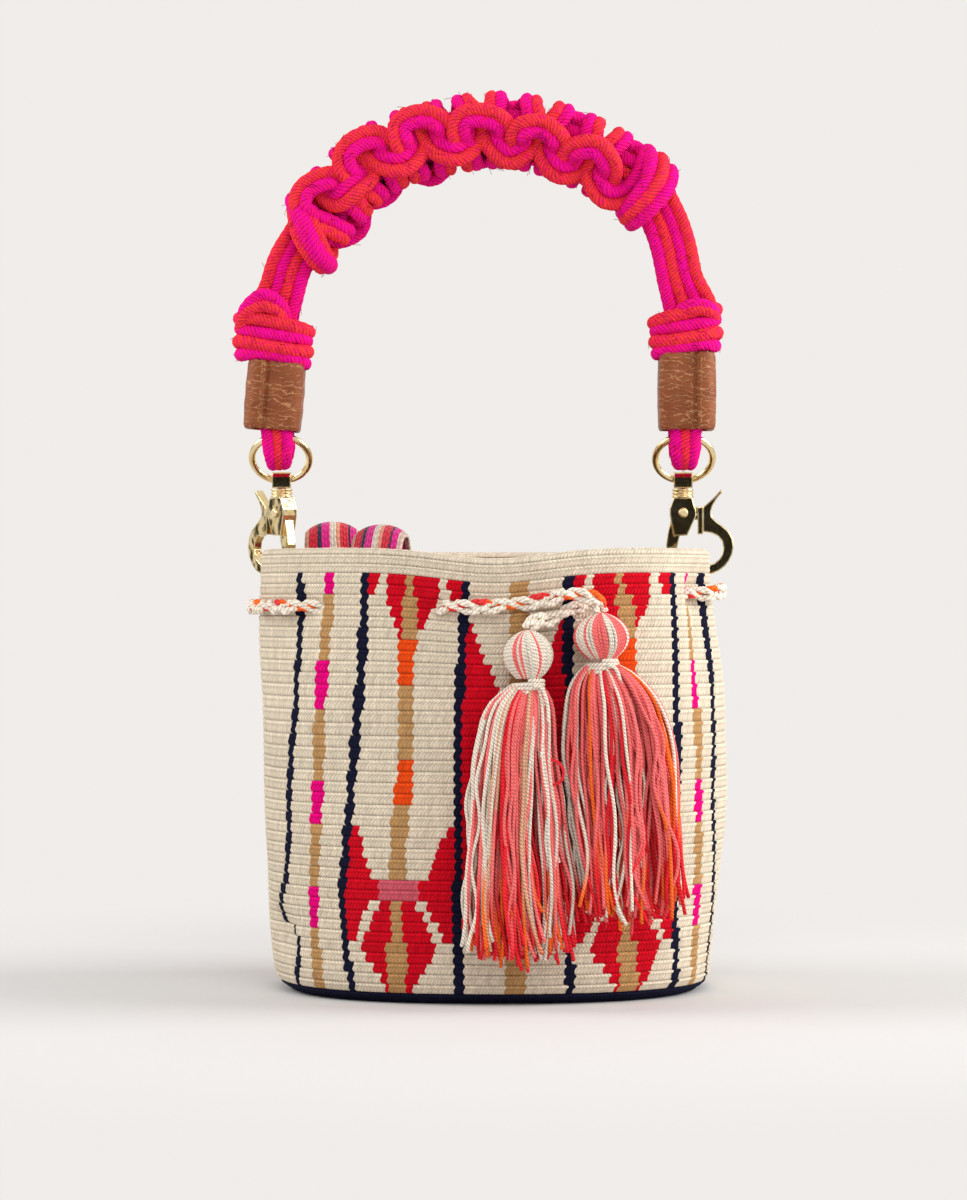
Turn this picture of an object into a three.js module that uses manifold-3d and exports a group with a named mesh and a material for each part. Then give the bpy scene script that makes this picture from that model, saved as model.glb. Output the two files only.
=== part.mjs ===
// Crossbody bag: a crochet bucket bag with a knotted cord handle on two snap hooks.
// Millimetres, +Z up, +X to the right of a viewer in front of the bag, who looks along +Y.
// The origin is the centre of the flat base.

import * as THREE from "three";
import { mergeVertices } from "three/addons/utils/BufferGeometryUtils.js";
import Module from "manifold-3d";

const wasm = await Module();
wasm.setup();

// Clearance between pieces that touch on the real bag
const clearance = 0.3;

// Crochet bucket
const bagHeight = 163;
const baseHalfWidth = 80.5;
const baseHalfDepth = 69;
const wallHalfWidth = 86.5;
const wallHalfDepth = 75;
const bulgeHeight = 95;
const planPower = 2.3;
const wallThickness = 4.2;
const floorThickness = 4;
const baseCornerRadius = 8;
const rowPitch = 4.4;
const rowRelief = 0.9;
const plainRows = 1;
const bagSegments = 30;
const rightPinch = 5.5;
const pinchDrop = 58;
const frontDip = 4;

// Drawstring and its route through the wall, by the angle round the bag from the front
const drawstringDiameter = 6;
const drawstringDrop = 21;
const drawstringHeight = bagHeight - drawstringDrop;
const drawstringRise = 6;
const eyeletAngles = [25, 61, 106, 138, 168, 192, 222, 254, 309, 345];
const eyeletHalfPass = 5.5;
const drawstringStep = 9;

// Tassels, hung below the drawstring and in front of the wall
const tassels = [
  {
    side: "left",
    top: [12, -wallHalfDepth - 8.8, drawstringHeight - 8],
    tasselLength: 112.5,
    headRadius: 8.5,
    headHeight: 18.5,
    skirtHalfWidth: 17,
    skirtShift: [-4, -2],
  },
  {
    side: "right",
    top: [38, -wallHalfDepth - 5.2, drawstringHeight - 2],
    tasselLength: 105,
    headRadius: 9.5,
    headHeight: 17.5,
    skirtHalfWidth: 18.5,
    skirtShift: [8, 0.8],
  },
];
const skirtHalfDepth = 9;
const neckRadius = 5;
const tieHeight = 4;
const tieThickness = 1.7;

// Folded strap
const strapWidth = 22;
const strapThickness = 2.6;
const strapInset = 41.5;
const strapFootInset = 35.5;
const strapFoldRise = 9.6;

// Snap hooks: each one stands on its post's axis, with the trigger's rivet as its own origin
const rivetRise = 14;
const rivetHeight = bagHeight + rivetRise;
const snaps = [
  { side: "right", post: wallHalfWidth - 15.5, turn: 0 },
  { side: "left", post: 7.1 - wallHalfWidth, turn: 130 },
];
const castingThickness = 6.4;
const cheekThickness = 1.1;
const jawThickness = 3.6;
const triggerThickness = 3.4;
const triggerHub = 1.7;
const rivetRadius = 1;
const rivetHeadRadius = 1.9;
const rivetHeadHeight = 0.7;
const springWire = 0.6;
const springRadius = 1.95;
const postRadius = 1.5;
const postHeadRadius = 2.2;
const collarRadius = 3.7;
const collarTop = 9;
const collarBottom = 5.6;
const eyeCentre = 12.2;
const eyeLength = 7;
const eyeWidth = 6.2;
const eyeHoleRadius = 2.15;
const hookPass = 21.4;

// Rings, leaning forward out of the eyes
const ringRadius = 10.7;
const ringWire = 2.6;
const ringLean = 42;
const leanAngle = THREE.MathUtils.degToRad(ringLean);
const ringTopHeight = rivetHeight + eyeCentre + 2 * ringRadius * Math.cos(leanAngle);
const ringTopDepth = 2 * ringRadius * Math.sin(leanAngle);

// Handle: the centre line of its cord bundle, in its own upright plane. Each point is
// [share of the way from the left post to the right post, rise above the rings' tops].
const handlePlane = 1 - ringTopDepth;
const handleLine = [
  [1, -10.1],
  [1, 9.9],
  [1.002, 40.9],
  [0.9894, 56.9],
  [0.9634, 74.9],
  [0.9262, 86.9],
  [0.8896, 93.4],
  [0.8032, 101.6],
  [0.6922, 109.4],
  [0.5559, 113.8],
  [0.3956, 110.9],
  [0.26, 104.2],
  [0.1609, 92.3],
  [0.0944, 78.2],
  [0.0499, 70.7],
  [0.0199, 62.2],
  [0, 48.9],
  [-0.008, 35.9],
  [-0.008, 10.9],
  [0, -10.1],
];
const cordDiameter = 4.7;
const cordPitch = cordDiameter + clearance;
const strandSpread = 5.5;
const bightDrop = 7.4;
const arcStep = 15;

// Square knots of the handle
const halfKnots = 14;
const halfKnotPitch = 10.9;
const knotsStart = 100;
const pairWidth = 9.6;

// Leather sleeves
const sleeveLift = 2.3;
const sleeveBottom = ringTopHeight + sleeveLift;
const leatherThickness = 1.6;
const sleeves = [
  { side: "right", height: 28.6 },
  { side: "left", height: 25.1 },
];
const seamOverlap = 5;

// Cords wound round the handle's ends, above the sleeves
const wrapTurns = 1.6;
const wrapGap = 0.55;
const wrapPitch = cordDiameter + wrapGap;
const wrapLift = 1;

// Colours and finishes
const cream = { color: 0xd9cdbb, roughness: 0.95, metalness: 0 };
const braid = { color: 0xe6b9a4, roughness: 0.95, metalness: 0 };
const coral = { color: 0xe0697b, roughness: 0.9, metalness: 0 };
const pink = { color: 0xe6007e, roughness: 0.9, metalness: 0 };
const red = { color: 0xf0352d, roughness: 0.9, metalness: 0 };
const stripes = { color: 0xb0263c, roughness: 0.9, metalness: 0 };
const tan = { color: 0x8b5230, roughness: 0.6, metalness: 0 };
const gold = { color: 0xd9b96a, roughness: 0.22, metalness: 1 };
const steel = { color: 0x9a9a9a, roughness: 0.35, metalness: 1 };

const bag = new THREE.Group();

function addPiece(name, geometry, finish, parent = bag) {
  const piece = new THREE.Mesh(geometry, new THREE.MeshStandardMaterial(finish));
  piece.name = name;
  parent.add(piece);
  return piece;
}

// Solids

function toSolid(geometry) {
  const bare = geometry.clone();
  bare.deleteAttribute("normal");
  bare.deleteAttribute("uv");
  const merged = mergeVertices(bare, 1e-4);
  const index = merged.index.array;
  const corners = [];
  for (let i = 0; i < index.length; i += 3) {
    const [a, b, c] = [index[i], index[i + 1], index[i + 2]];
    if (a !== b && b !== c && c !== a) {
      corners.push(a, b, c);
    }
  }
  return new wasm.Manifold(
    new wasm.Mesh({
      numProp: 3,
      vertProperties: Float32Array.from(merged.attributes.position.array),
      triVerts: Uint32Array.from(corners),
    }),
  );
}

function fromSolid(solid) {
  const mesh = solid.getMesh();
  const geometry = new THREE.BufferGeometry();
  geometry.setAttribute("position", new THREE.BufferAttribute(mesh.vertProperties, 3));
  geometry.setIndex(new THREE.BufferAttribute(mesh.triVerts, 1));
  return geometry;
}

function joined(geometries) {
  let solid = toSolid(geometries[0]);
  for (const other of geometries.slice(1)) {
    solid = solid.add(toSolid(other));
  }
  return solid;
}

// Curves and sections

// A smooth path whose steps fall on its own points, so that tight bends get close steps
class StationPath extends THREE.CatmullRomCurve3 {
  getPointAt(u, target) {
    return this.getPoint(u, target);
  }

  getTangentAt(u, target) {
    return this.getTangent(u, target);
  }
}

function regularOutline(radius, sides) {
  const outline = new THREE.Shape();
  for (let i = 0; i < sides; i += 1) {
    const angle = (2 * Math.PI * (i + 0.5)) / sides;
    const [x, y] = [radius * Math.cos(angle), radius * Math.sin(angle)];
    if (i === 0) {
      outline.moveTo(x, y);
    } else {
      outline.lineTo(x, y);
    }
  }
  return outline;
}

function cordAlong(points, diameter, sides = 6) {
  return new THREE.ExtrudeGeometry(regularOutline(diameter / 2, sides), {
    steps: points.length - 1,
    extrudePath: new StationPath(points),
  });
}

// Lays a straight unit prism, long in Y, along stations of { point, side }, side being its width direction
function sweptPrism(prism, stations, width, thickness) {
  const spots = prism.attributes.position;
  const last = stations.length - 1;
  for (let i = 0; i < spots.count; i += 1) {
    const k = Math.round((0.5 - spots.getY(i)) * last);
    const before = stations[Math.max(k - 1, 0)].point;
    const after = stations[Math.min(k + 1, last)].point;
    const along = after.clone().sub(before).normalize();
    const across = stations[k].side.clone();
    across.addScaledVector(along, -across.dot(along)).normalize();
    const up = along.clone().cross(across);
    const spot = stations[k].point.clone();
    spot.addScaledVector(across, spots.getX(i) * width);
    spot.addScaledVector(up, spots.getZ(i) * thickness);
    spots.setXYZ(i, spot.x, spot.y, spot.z);
  }
  return prism;
}

function outlineOf(points) {
  return new THREE.Shape(points.map(([x, y]) => new THREE.Vector2(x, y)));
}

// A plate with the outline in the XZ plane, centred on Y
function plateXZ(outline, thickness, centreY = 0) {
  const plate = new THREE.ExtrudeGeometry(outline, {
    depth: thickness,
    bevelEnabled: false,
    curveSegments: 4,
  });
  plate.rotateX(Math.PI / 2);
  plate.translate(0, thickness / 2 + centreY, 0);
  return plate;
}

function turned(profile, segments) {
  const points = profile.map(([r, z]) => new THREE.Vector2(r, z));
  const lathe = new THREE.LatheGeometry(points, segments);
  lathe.rotateX(Math.PI / 2);
  return lathe;
}

function smooth(value, from, to) {
  return THREE.MathUtils.smoothstep(value, from, to);
}

// Crochet bucket

// Distance from the bag's axis to its outer face, by the angle from +X and the height
function planRadius(angle, height) {
  const rise = Math.sin((Math.PI / 2) * Math.min(1, Math.max(0, height / bulgeHeight)));
  let halfWidth = baseHalfWidth + (wallHalfWidth - baseHalfWidth) * rise;
  const halfDepth = baseHalfDepth + (wallHalfDepth - baseHalfDepth) * rise;
  const facingRight = Math.max(0, Math.cos(angle));
  halfWidth -= rightPinch * facingRight ** 4 * smooth(height, bagHeight - pinchDrop, bagHeight - 8);
  const across = (Math.abs(Math.cos(angle)) / halfWidth) ** planPower;
  const deep = (Math.abs(Math.sin(angle)) / halfDepth) ** planPower;
  return (across + deep) ** (-1 / planPower);
}

function rimDip(angle, height) {
  return frontDip * Math.max(0, -Math.sin(angle)) ** 16 * smooth(height, bagHeight * 0.6, bagHeight);
}

// A point beside the outer face: the angle is in degrees from the front, and positive offsets lie outside
function besideWall(frontAngle, height, offset) {
  const angle = THREE.MathUtils.degToRad(frontAngle - 90);
  const radius = planRadius(angle, height) + offset;
  return new THREE.Vector3(radius * Math.cos(angle), radius * Math.sin(angle), height);
}

function bucketProfile() {
  const outer = wallHalfWidth;
  const inner = outer - wallThickness;
  const profile = [[0, 0], [outer - baseCornerRadius, 0]];
  for (const step of [1, 2]) {
    const angle = (Math.PI / 6) * step;
    profile.push([
      outer - baseCornerRadius + baseCornerRadius * Math.sin(angle),
      baseCornerRadius - baseCornerRadius * Math.cos(angle),
    ]);
  }
  const ridgedTop = bagHeight - rowPitch * (plainRows + 0.4);
  for (let z = baseCornerRadius; z < ridgedTop; z += rowPitch) {
    profile.push([outer - rowRelief, z]);
    profile.push([outer, z + rowPitch * 0.35]);
  }
  profile.push([outer - rowRelief, ridgedTop + 0.6]);
  profile.push([outer, bagHeight - 1.8]);
  profile.push([outer - 1.4, bagHeight]);
  profile.push([inner + 1.2, bagHeight]);
  profile.push([inner, bagHeight - 1.6]);
  for (const share of [0.85, 0.65, 0.4, 0.2]) {
    profile.push([inner, bagHeight * share]);
  }
  const corner = baseCornerRadius - 1;
  profile.push([inner, floorThickness + corner]);
  profile.push([inner - corner * 0.35, floorThickness + corner * 0.3]);
  profile.push([inner - corner, floorThickness]);
  profile.push([0, floorThickness]);
  return profile;
}

function bucket() {
  const body = turned(bucketProfile(), bagSegments);
  const spots = body.attributes.position;
  const rigidBand = baseCornerRadius + wallThickness;
  for (let i = 0; i < spots.count; i += 1) {
    const radius = Math.hypot(spots.getX(i), spots.getY(i));
    const angle = Math.atan2(spots.getY(i), spots.getX(i));
    const height = spots.getZ(i);
    const outside = planRadius(angle, height);
    const depth = wallHalfWidth - radius;
    const share = (outside - rigidBand) / (wallHalfWidth - rigidBand);
    const placed = depth < rigidBand ? outside - depth : radius * share;
    spots.setXYZ(
      i,
      placed * Math.cos(angle),
      placed * Math.sin(angle),
      height - rimDip(angle, height),
    );
  }
  return body;
}

// Drawstring

function drawstringLevel(frontAngle) {
  const side = Math.max(0, Math.sin(THREE.MathUtils.degToRad(frontAngle)));
  return drawstringHeight + drawstringRise * side ** 2;
}

function drawstringPoints() {
  const outside = drawstringDiameter / 2 + 2 * clearance;
  const inside = -(wallThickness + outside);
  const points = [];
  const along = (frontAngle, offset, lift = 0) =>
    points.push(besideWall(frontAngle, drawstringLevel(frontAngle) + lift, offset));
  const [leftTop, rightTop] = tassels.map(({ top }) => new THREE.Vector3(...top));
  const crossing = drawstringDiameter + 1.2;

  // The end that carries the left tassel comes down in a small loop from the first eyelet
  points.push(leftTop.clone().add(new THREE.Vector3(0, 0, clearance)));
  points.push(leftTop.clone().add(new THREE.Vector3(0.6, 0.3, 1.8)));
  points.push(leftTop.clone().add(new THREE.Vector3(3.4, 1.6, 3.2)));
  along(15, outside + 0.6, -4.6);
  along(19, outside, -2.2);
  along(22, outside - 2.4, -0.6);

  eyeletAngles.forEach((angle, i) => {
    const inward = i % 2 === 0;
    const [first, second] = inward ? [outside, inside] : [inside, outside];
    const half = eyeletHalfPass;
    if (i > 0) {
      along(angle - half, first);
      along(angle - half * 0.45, first * 0.72 + second * 0.28);
    }
    along(angle, (first + second) / 2);
    const last = i === eyeletAngles.length - 1;
    along(angle + half * 0.45, first * 0.28 + second * 0.72);
    along(angle + half, second);
    const next = last ? 360 : eyeletAngles[i + 1];
    const span = next - angle - 2 * half;
    const count = last ? 0 : Math.max(1, Math.round(span / drawstringStep)) - 1;
    for (let k = 1; k <= count; k += 1) {
      along(angle + half + (span * k) / (count + 1), second);
    }
  });

  // The other end runs over the crossing to the right tassel
  along(359, outside, 0.2);
  along(366, outside, 0.8);
  along(372, outside + crossing * 0.3, 2);
  along(378, outside + crossing * 0.85, 3.6);
  points.push(rightTop.clone().add(new THREE.Vector3(-8, -1.2, 6.2)));
  points.push(rightTop.clone().add(new THREE.Vector3(-2.6, -0.6, 5)));
  points.push(rightTop.clone().add(new THREE.Vector3(-0.3, -0.1, 2.4)));
  points.push(rightTop.clone().add(new THREE.Vector3(0, 0, clearance)));
  return points;
}

// Tassels

function tasselYarn({ top, tasselLength, headRadius, headHeight, skirtHalfWidth, skirtShift }) {
  const [topX, topY, topZ] = top;
  const skirtBottom = topZ - tasselLength;
  const neckZ = topZ - headHeight - tieHeight / 2;
  const profile = [[0, topZ]];
  for (const angle of [35, 65, 95, 125, 150]) {
    const turn = THREE.MathUtils.degToRad(angle);
    profile.push([headRadius * Math.sin(turn), topZ - (headHeight / 2) * (1 - Math.cos(turn))]);
  }
  profile.push([neckRadius, neckZ + tieHeight / 2]);
  profile.push([neckRadius, neckZ - tieHeight / 2]);
  const skirtTop = neckZ - tieHeight / 2;
  for (const share of [0.1, 0.3, 0.62, 1]) {
    profile.push([
      neckRadius + 1.5 + (skirtHalfWidth - neckRadius - 1.5) * share ** 0.75,
      skirtTop + (skirtBottom - skirtTop) * share,
    ]);
  }
  profile.push([0, skirtBottom]);
  const yarn = turned(profile.reverse(), 16);
  const spots = yarn.attributes.position;
  for (let i = 0; i < spots.count; i += 1) {
    const down = smooth(-spots.getZ(i), -skirtTop, -skirtBottom);
    const flat = 1 + (skirtHalfDepth / skirtHalfWidth - 1) * Math.sqrt(down);
    spots.setX(i, topX + spots.getX(i) + skirtShift[0] * down);
    spots.setY(i, topY + spots.getY(i) * flat + skirtShift[1] * down);
  }
  return yarn;
}

function tasselTie({ top, headHeight }) {
  const [topX, topY, topZ] = top;
  const middle = topZ - headHeight - tieHeight / 2;
  const inner = neckRadius + clearance;
  const half = tieHeight / 2 - clearance;
  const turns = 2;
  const profile = [[inner, middle - half]];
  for (let i = 0; i < turns; i += 1) {
    const low = middle - half + (2 * half * i) / turns;
    profile.push([inner + tieThickness * 0.6, low + 0.05]);
    profile.push([inner + tieThickness, low + half / turns]);
  }
  profile.push([inner + tieThickness * 0.6, middle + half]);
  profile.push([inner, middle + half]);
  profile.push(profile[0]);
  const tie = turned(profile, 12);
  tie.translate(topX, topY, 0);
  return tie;
}

// Strap, folded into the bag with two folds over the rim. Each station is
// [x from the strap's own line, y, z, turn of its width].

function strapStations() {
  const floor = floorThickness + strapThickness / 2 + clearance;
  const second = floor + strapThickness + 2 * clearance;
  const rim = bagHeight;
  const top = bagHeight + strapFoldRise;
  const route = [
    [1, -34, floor, 0],
    [0, -16, floor, 0],
    [-2, 4, floor, 0],
    [-4, 20, floor + 2.5, 0],
    [-7, 30, floor + 13, 0],
    [-11, 31, rim * 0.37, 0],
    [-14, 27.4, rim * 0.74, 0],
    [-15, 24.6, rim - 5, 4],
    [-15.6, 22, rim + 4, 5],
    [-15.8, 17.5, top, 6],
    [-15.8, 12.5, top - 0.6, 7],
    [-15.6, 8.6, rim + 3, 8],
    [-14.4, 7, rim - 7, 8],
    [-11, 9, rim * 0.61, 4],
    [-5, 14, rim * 0.25, 0],
    [-2.5, 15, floor + 18, 0],
    [-1.5, 11, floor + 10.5, 0],
    [-1, 5, floor + 12, -4],
    [0, 2.4, floor + 22, -8],
    [3, -1, rim * 0.55, -16],
    [4.5, -1.5, rim - 5, -24],
    [4.4, -3.6, rim + 4.4, -26],
    [3.4, -8.2, top + 0.8, -28],
    [1.8, -13.4, top, -28],
    [0.6, -17, rim + 2.6, -28],
    [0.2, -18, rim - 8, -26],
    [0, -18, rim * 0.61, -14],
    [0, -17.5, rim * 0.25, -4],
    [0, -19.5, second + 8, 0],
    [0, -24.5, second + 1.6, 0],
    [0.5, -31, second, 0],
    [1, -38, second, 0],
  ];
  return route.map(([x, y, z, turn]) => {
    const angle = THREE.MathUtils.degToRad(turn);
    const up = Math.min(1, z / bulgeHeight);
    const line = THREE.MathUtils.lerp(strapFootInset - baseHalfWidth, strapInset - wallHalfWidth, up);
    return {
      point: new THREE.Vector3(line + x, y, z),
      side: new THREE.Vector3(Math.cos(angle), Math.sin(angle), 0),
    };
  });
}

function strap() {
  const stations = strapStations();
  const prism = new THREE.BoxGeometry(1, 1, 1, 1, stations.length - 1, 1);
  return sweptPrism(prism, stations, strapWidth, strapThickness);
}

// Handle

const [rightPost, leftPost] = snaps.map(({ post }) => post);
const handleCurve = new THREE.CatmullRomCurve3(
  handleLine.map(
    ([share, rise]) =>
      new THREE.Vector3(leftPost + (rightPost - leftPost) * share, handlePlane, ringTopHeight + rise),
  ),
);
handleCurve.arcLengthDivisions = 2000;
const handleLength = handleCurve.getLength();

// The bundle's frame at a length along the handle: outward lies in the handle's plane, away from the hand
function bundleFrame(length) {
  const share = THREE.MathUtils.clamp(length / handleLength, 0, 1);
  const point = handleCurve.getPointAt(share);
  const along = handleCurve.getTangentAt(share);
  const outward = new THREE.Vector3(along.z, 0, -along.x);
  return { point, along, outward };
}

function bundlePoint(length, outwardBy, depthBy) {
  const { point, outward } = bundleFrame(length);
  const spot = point.addScaledVector(outward, outwardBy);
  spot.y += depthBy;
  return spot;
}

function lengthAtHeight(height, side) {
  const endSpan = 90;
  let [low, high] = side === "right" ? [0, endSpan] : [handleLength, handleLength - endSpan];
  for (let i = 0; i < 40; i += 1) {
    const middle = (low + high) / 2;
    if (bundleFrame(middle).point.z < height) {
      low = middle;
    } else {
      high = middle;
    }
  }
  return low;
}

// Half the distance between the front and back strands, which part where they pass the ring
function strandHalfGap(length) {
  const fromEnd = Math.min(length, handleLength - length);
  const spreadEnd = lengthAtHeight(sleeveBottom, "right");
  const closed = cordPitch / 2;
  return strandSpread + (closed - strandSpread) * smooth(fromEnd, spreadEnd, spreadEnd + 18);
}

function coreStrand(row, from, to, face) {
  const points = [];
  const count = Math.round(Math.abs(to - from) / arcStep);
  for (let i = 0; i <= count; i += 1) {
    const length = from + ((to - from) * i) / count;
    points.push(bundlePoint(length, row * cordPitch, face * strandHalfGap(length)));
  }
  return points;
}

// The half circle in which a core cord turns back under the ring's wire
function coreBight(row, length, face) {
  const centre = bundlePoint(length, row * cordPitch, 0);
  const points = [];
  for (const angle of [30, 60, 90, 120, 150]) {
    const turn = THREE.MathUtils.degToRad(angle);
    points.push(
      centre
        .clone()
        .add(new THREE.Vector3(0, face * strandSpread * Math.cos(turn), -strandSpread * Math.sin(turn))),
    );
  }
  return points;
}

function coreCord(row) {
  const middle = handleLength / 2;
  const rightEnd = lengthAtHeight(ringTopHeight - bightDrop + strandSpread / 2, "right");
  const leftEnd = lengthAtHeight(ringTopHeight - bightDrop + strandSpread / 2, "left");
  const cut = clearance;
  const points = [
    ...coreStrand(row, middle - cut, rightEnd, 1),
    ...coreBight(row, rightEnd, 1),
    ...coreStrand(row, rightEnd, middle, -1).slice(0, -1),
    ...coreStrand(row, middle, leftEnd, -1),
    ...coreBight(row, leftEnd, -1),
    ...coreStrand(row, leftEnd, middle + cut, 1),
  ];
  return cordAlong(points, cordDiameter);
}

// One half knot's run of a knotting pair: out of its bar, down one edge of the bundle, into the next bar.
// Each step is [share of the run, share of the depth, share of the outward reach, its width's turn].
const knotRun = [
  [0, 0.76, 1.03, 0],
  [0.06, 1.08, 0.45, 0.6],
  [0.5, 1.3, -0.35, 2],
  [0.94, 1.6, 0.4, 3.4],
  [1, 0.75, 1.04, 4],
];

function knottingPair(face) {
  const barReach = 1.5 * cordPitch + cordDiameter / 2 + 3 * clearance;
  const edgeReach = cordPitch + cordDiameter / 2 + clearance;
  const stations = [];
  for (let i = 0; i < halfKnots; i += 1) {
    const edge = (i % 2 === 0 ? 1 : -1) * face;
    for (const [run, depth, reach, turn] of knotRun) {
      const length = knotsStart + (i + run) * halfKnotPitch;
      const { along, outward } = bundleFrame(length);
      const point = bundlePoint(length, face * reach * barReach, edge * depth * edgeReach);
      const angle = (turn * Math.PI) / 4;
      const flip = i % 2 === 0 ? 1 : -1;
      const side = along
        .clone()
        .multiplyScalar(flip * Math.cos(angle))
        .addScaledVector(outward, flip * face * Math.sin(angle));
      stations.push({ point, side });
    }
  }
  const prism = new THREE.CylinderGeometry(0.5, 0.5, 1, 6, stations.length - 1, false, Math.PI / 6);
  return sweptPrism(prism, stations, pairWidth, cordDiameter);
}

function handleKnots() {
  return fromSolid(joined([knottingPair(1), knottingPair(-1)]));
}

// A cord wound round the bundle, start being its share of a turn
function wrapCord({ side, height }, start) {
  const reach = 1.5 * cordPitch + cordDiameter / 2 + 2 * clearance;
  const depth = cordPitch + cordDiameter / 2 + 2 * clearance;
  const steps = 10;
  const squareness = 0.62;
  const points = [];
  const base = lengthAtHeight(sleeveBottom + height + wrapLift, side);
  const direction = side === "right" ? 1 : -1;
  const hiddenStart = (2 - wrapTurns) / 2;
  for (let i = 0; i <= steps * wrapTurns; i += 1) {
    const angle = 2 * Math.PI * (hiddenStart + i / steps);
    const climb = cordDiameter / 2 + (start + (2 * i) / steps) * wrapPitch;
    const outward = -Math.sign(Math.sin(angle)) * Math.abs(Math.sin(angle)) ** squareness;
    const deep = Math.sign(Math.cos(angle)) * Math.abs(Math.cos(angle)) ** squareness;
    points.push(bundlePoint(base + direction * climb, reach * outward, depth * deep));
  }
  return cordAlong(points, cordDiameter);
}

function roundedOutline(halfWidth, halfDepth, radius) {
  const outline = new THREE.Shape();
  outline.moveTo(halfWidth, -halfDepth + radius);
  outline.lineTo(halfWidth, halfDepth - radius);
  outline.absarc(halfWidth - radius, halfDepth - radius, radius, 0, Math.PI / 2);
  outline.lineTo(-halfWidth + radius, halfDepth);
  outline.absarc(-halfWidth + radius, halfDepth - radius, radius, Math.PI / 2, Math.PI);
  outline.lineTo(-halfWidth, -halfDepth + radius);
  outline.absarc(-halfWidth + radius, -halfDepth + radius, radius, Math.PI, 1.5 * Math.PI);
  outline.lineTo(halfWidth - radius, -halfDepth);
  outline.absarc(halfWidth - radius, -halfDepth + radius, radius, 1.5 * Math.PI, 2 * Math.PI);
  return outline;
}

// A leather strip wrapped round the bundle, its end lapped over the outer side as a seam
function sleeve({ side, height }) {
  const innerHalfWidth = 1.5 * cordPitch + 2 * clearance;
  const innerHalfDepth = strandSpread + cordDiameter / 2 + clearance;
  const extrude = { depth: height, bevelEnabled: false, curveSegments: 3 };
  const shell = roundedOutline(innerHalfWidth + leatherThickness, innerHalfDepth + leatherThickness, 4);
  shell.holes.push(roundedOutline(innerHalfWidth, innerHalfDepth, 2.6));
  const wall = new THREE.ExtrudeGeometry(shell, extrude);
  const outer = side === "right" ? 1 : -1;
  const flap = new THREE.BoxGeometry(leatherThickness, seamOverlap * 2, height);
  flap.translate(
    outer * (innerHalfWidth + leatherThickness * 1.4),
    -innerHalfDepth + seamOverlap,
    height / 2,
  );
  const solid = joined([wall, flap]);
  const geometry = fromSolid(solid);
  const centre = bundleFrame(lengthAtHeight(sleeveBottom + height / 2, side)).point;
  geometry.translate(centre.x, handlePlane, sleeveBottom);
  return geometry;
}

// Rings and snap hooks

function ring(post) {
  const loop = new THREE.TorusGeometry(ringRadius, ringWire / 2, 6, 22);
  loop.rotateX(Math.PI / 2 + leanAngle);
  loop.translate(post, -ringTopDepth / 2, (rivetHeight + eyeCentre + ringTopHeight) / 2);
  return loop;
}

function rodAlongX(radius, length, height) {
  const rod = new THREE.CylinderGeometry(radius, radius, length, 12);
  rod.rotateZ(Math.PI / 2);
  rod.translate(0, 0, height);
  return rod;
}

function rodAlongY(radius, length) {
  return new THREE.CylinderGeometry(radius, radius, length, 12);
}

function swivelEye() {
  const low = collarTop + clearance;
  const high = eyeCentre + eyeHoleRadius + 1;
  const outline = new THREE.Shape();
  outline.moveTo(-eyeWidth / 2, low);
  outline.lineTo(eyeWidth / 2, low);
  outline.lineTo(eyeWidth / 2, high - 2);
  outline.absarc(eyeWidth / 2 - 2, high - 2, 2, 0, Math.PI / 2);
  outline.lineTo(-eyeWidth / 2 + 2, high);
  outline.absarc(-eyeWidth / 2 + 2, high - 2, 2, Math.PI / 2, Math.PI);
  const block = plateXZ(outline, eyeLength);
  block.rotateZ(Math.PI / 2);
  const headTop = collarBottom + 0.1;
  const headBottom = headTop - 1.5;
  const post = turned(
    [
      [0, headBottom],
      [postHeadRadius, headBottom],
      [postHeadRadius, headTop],
      [postRadius, headTop],
      [postRadius, low + 0.5],
      [0, low + 0.5],
    ],
    12,
  );
  const hole = rodAlongX(eyeHoleRadius, eyeLength * 2, eyeCentre);
  return fromSolid(joined([block, post]).subtract(toSolid(hole)));
}

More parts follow.
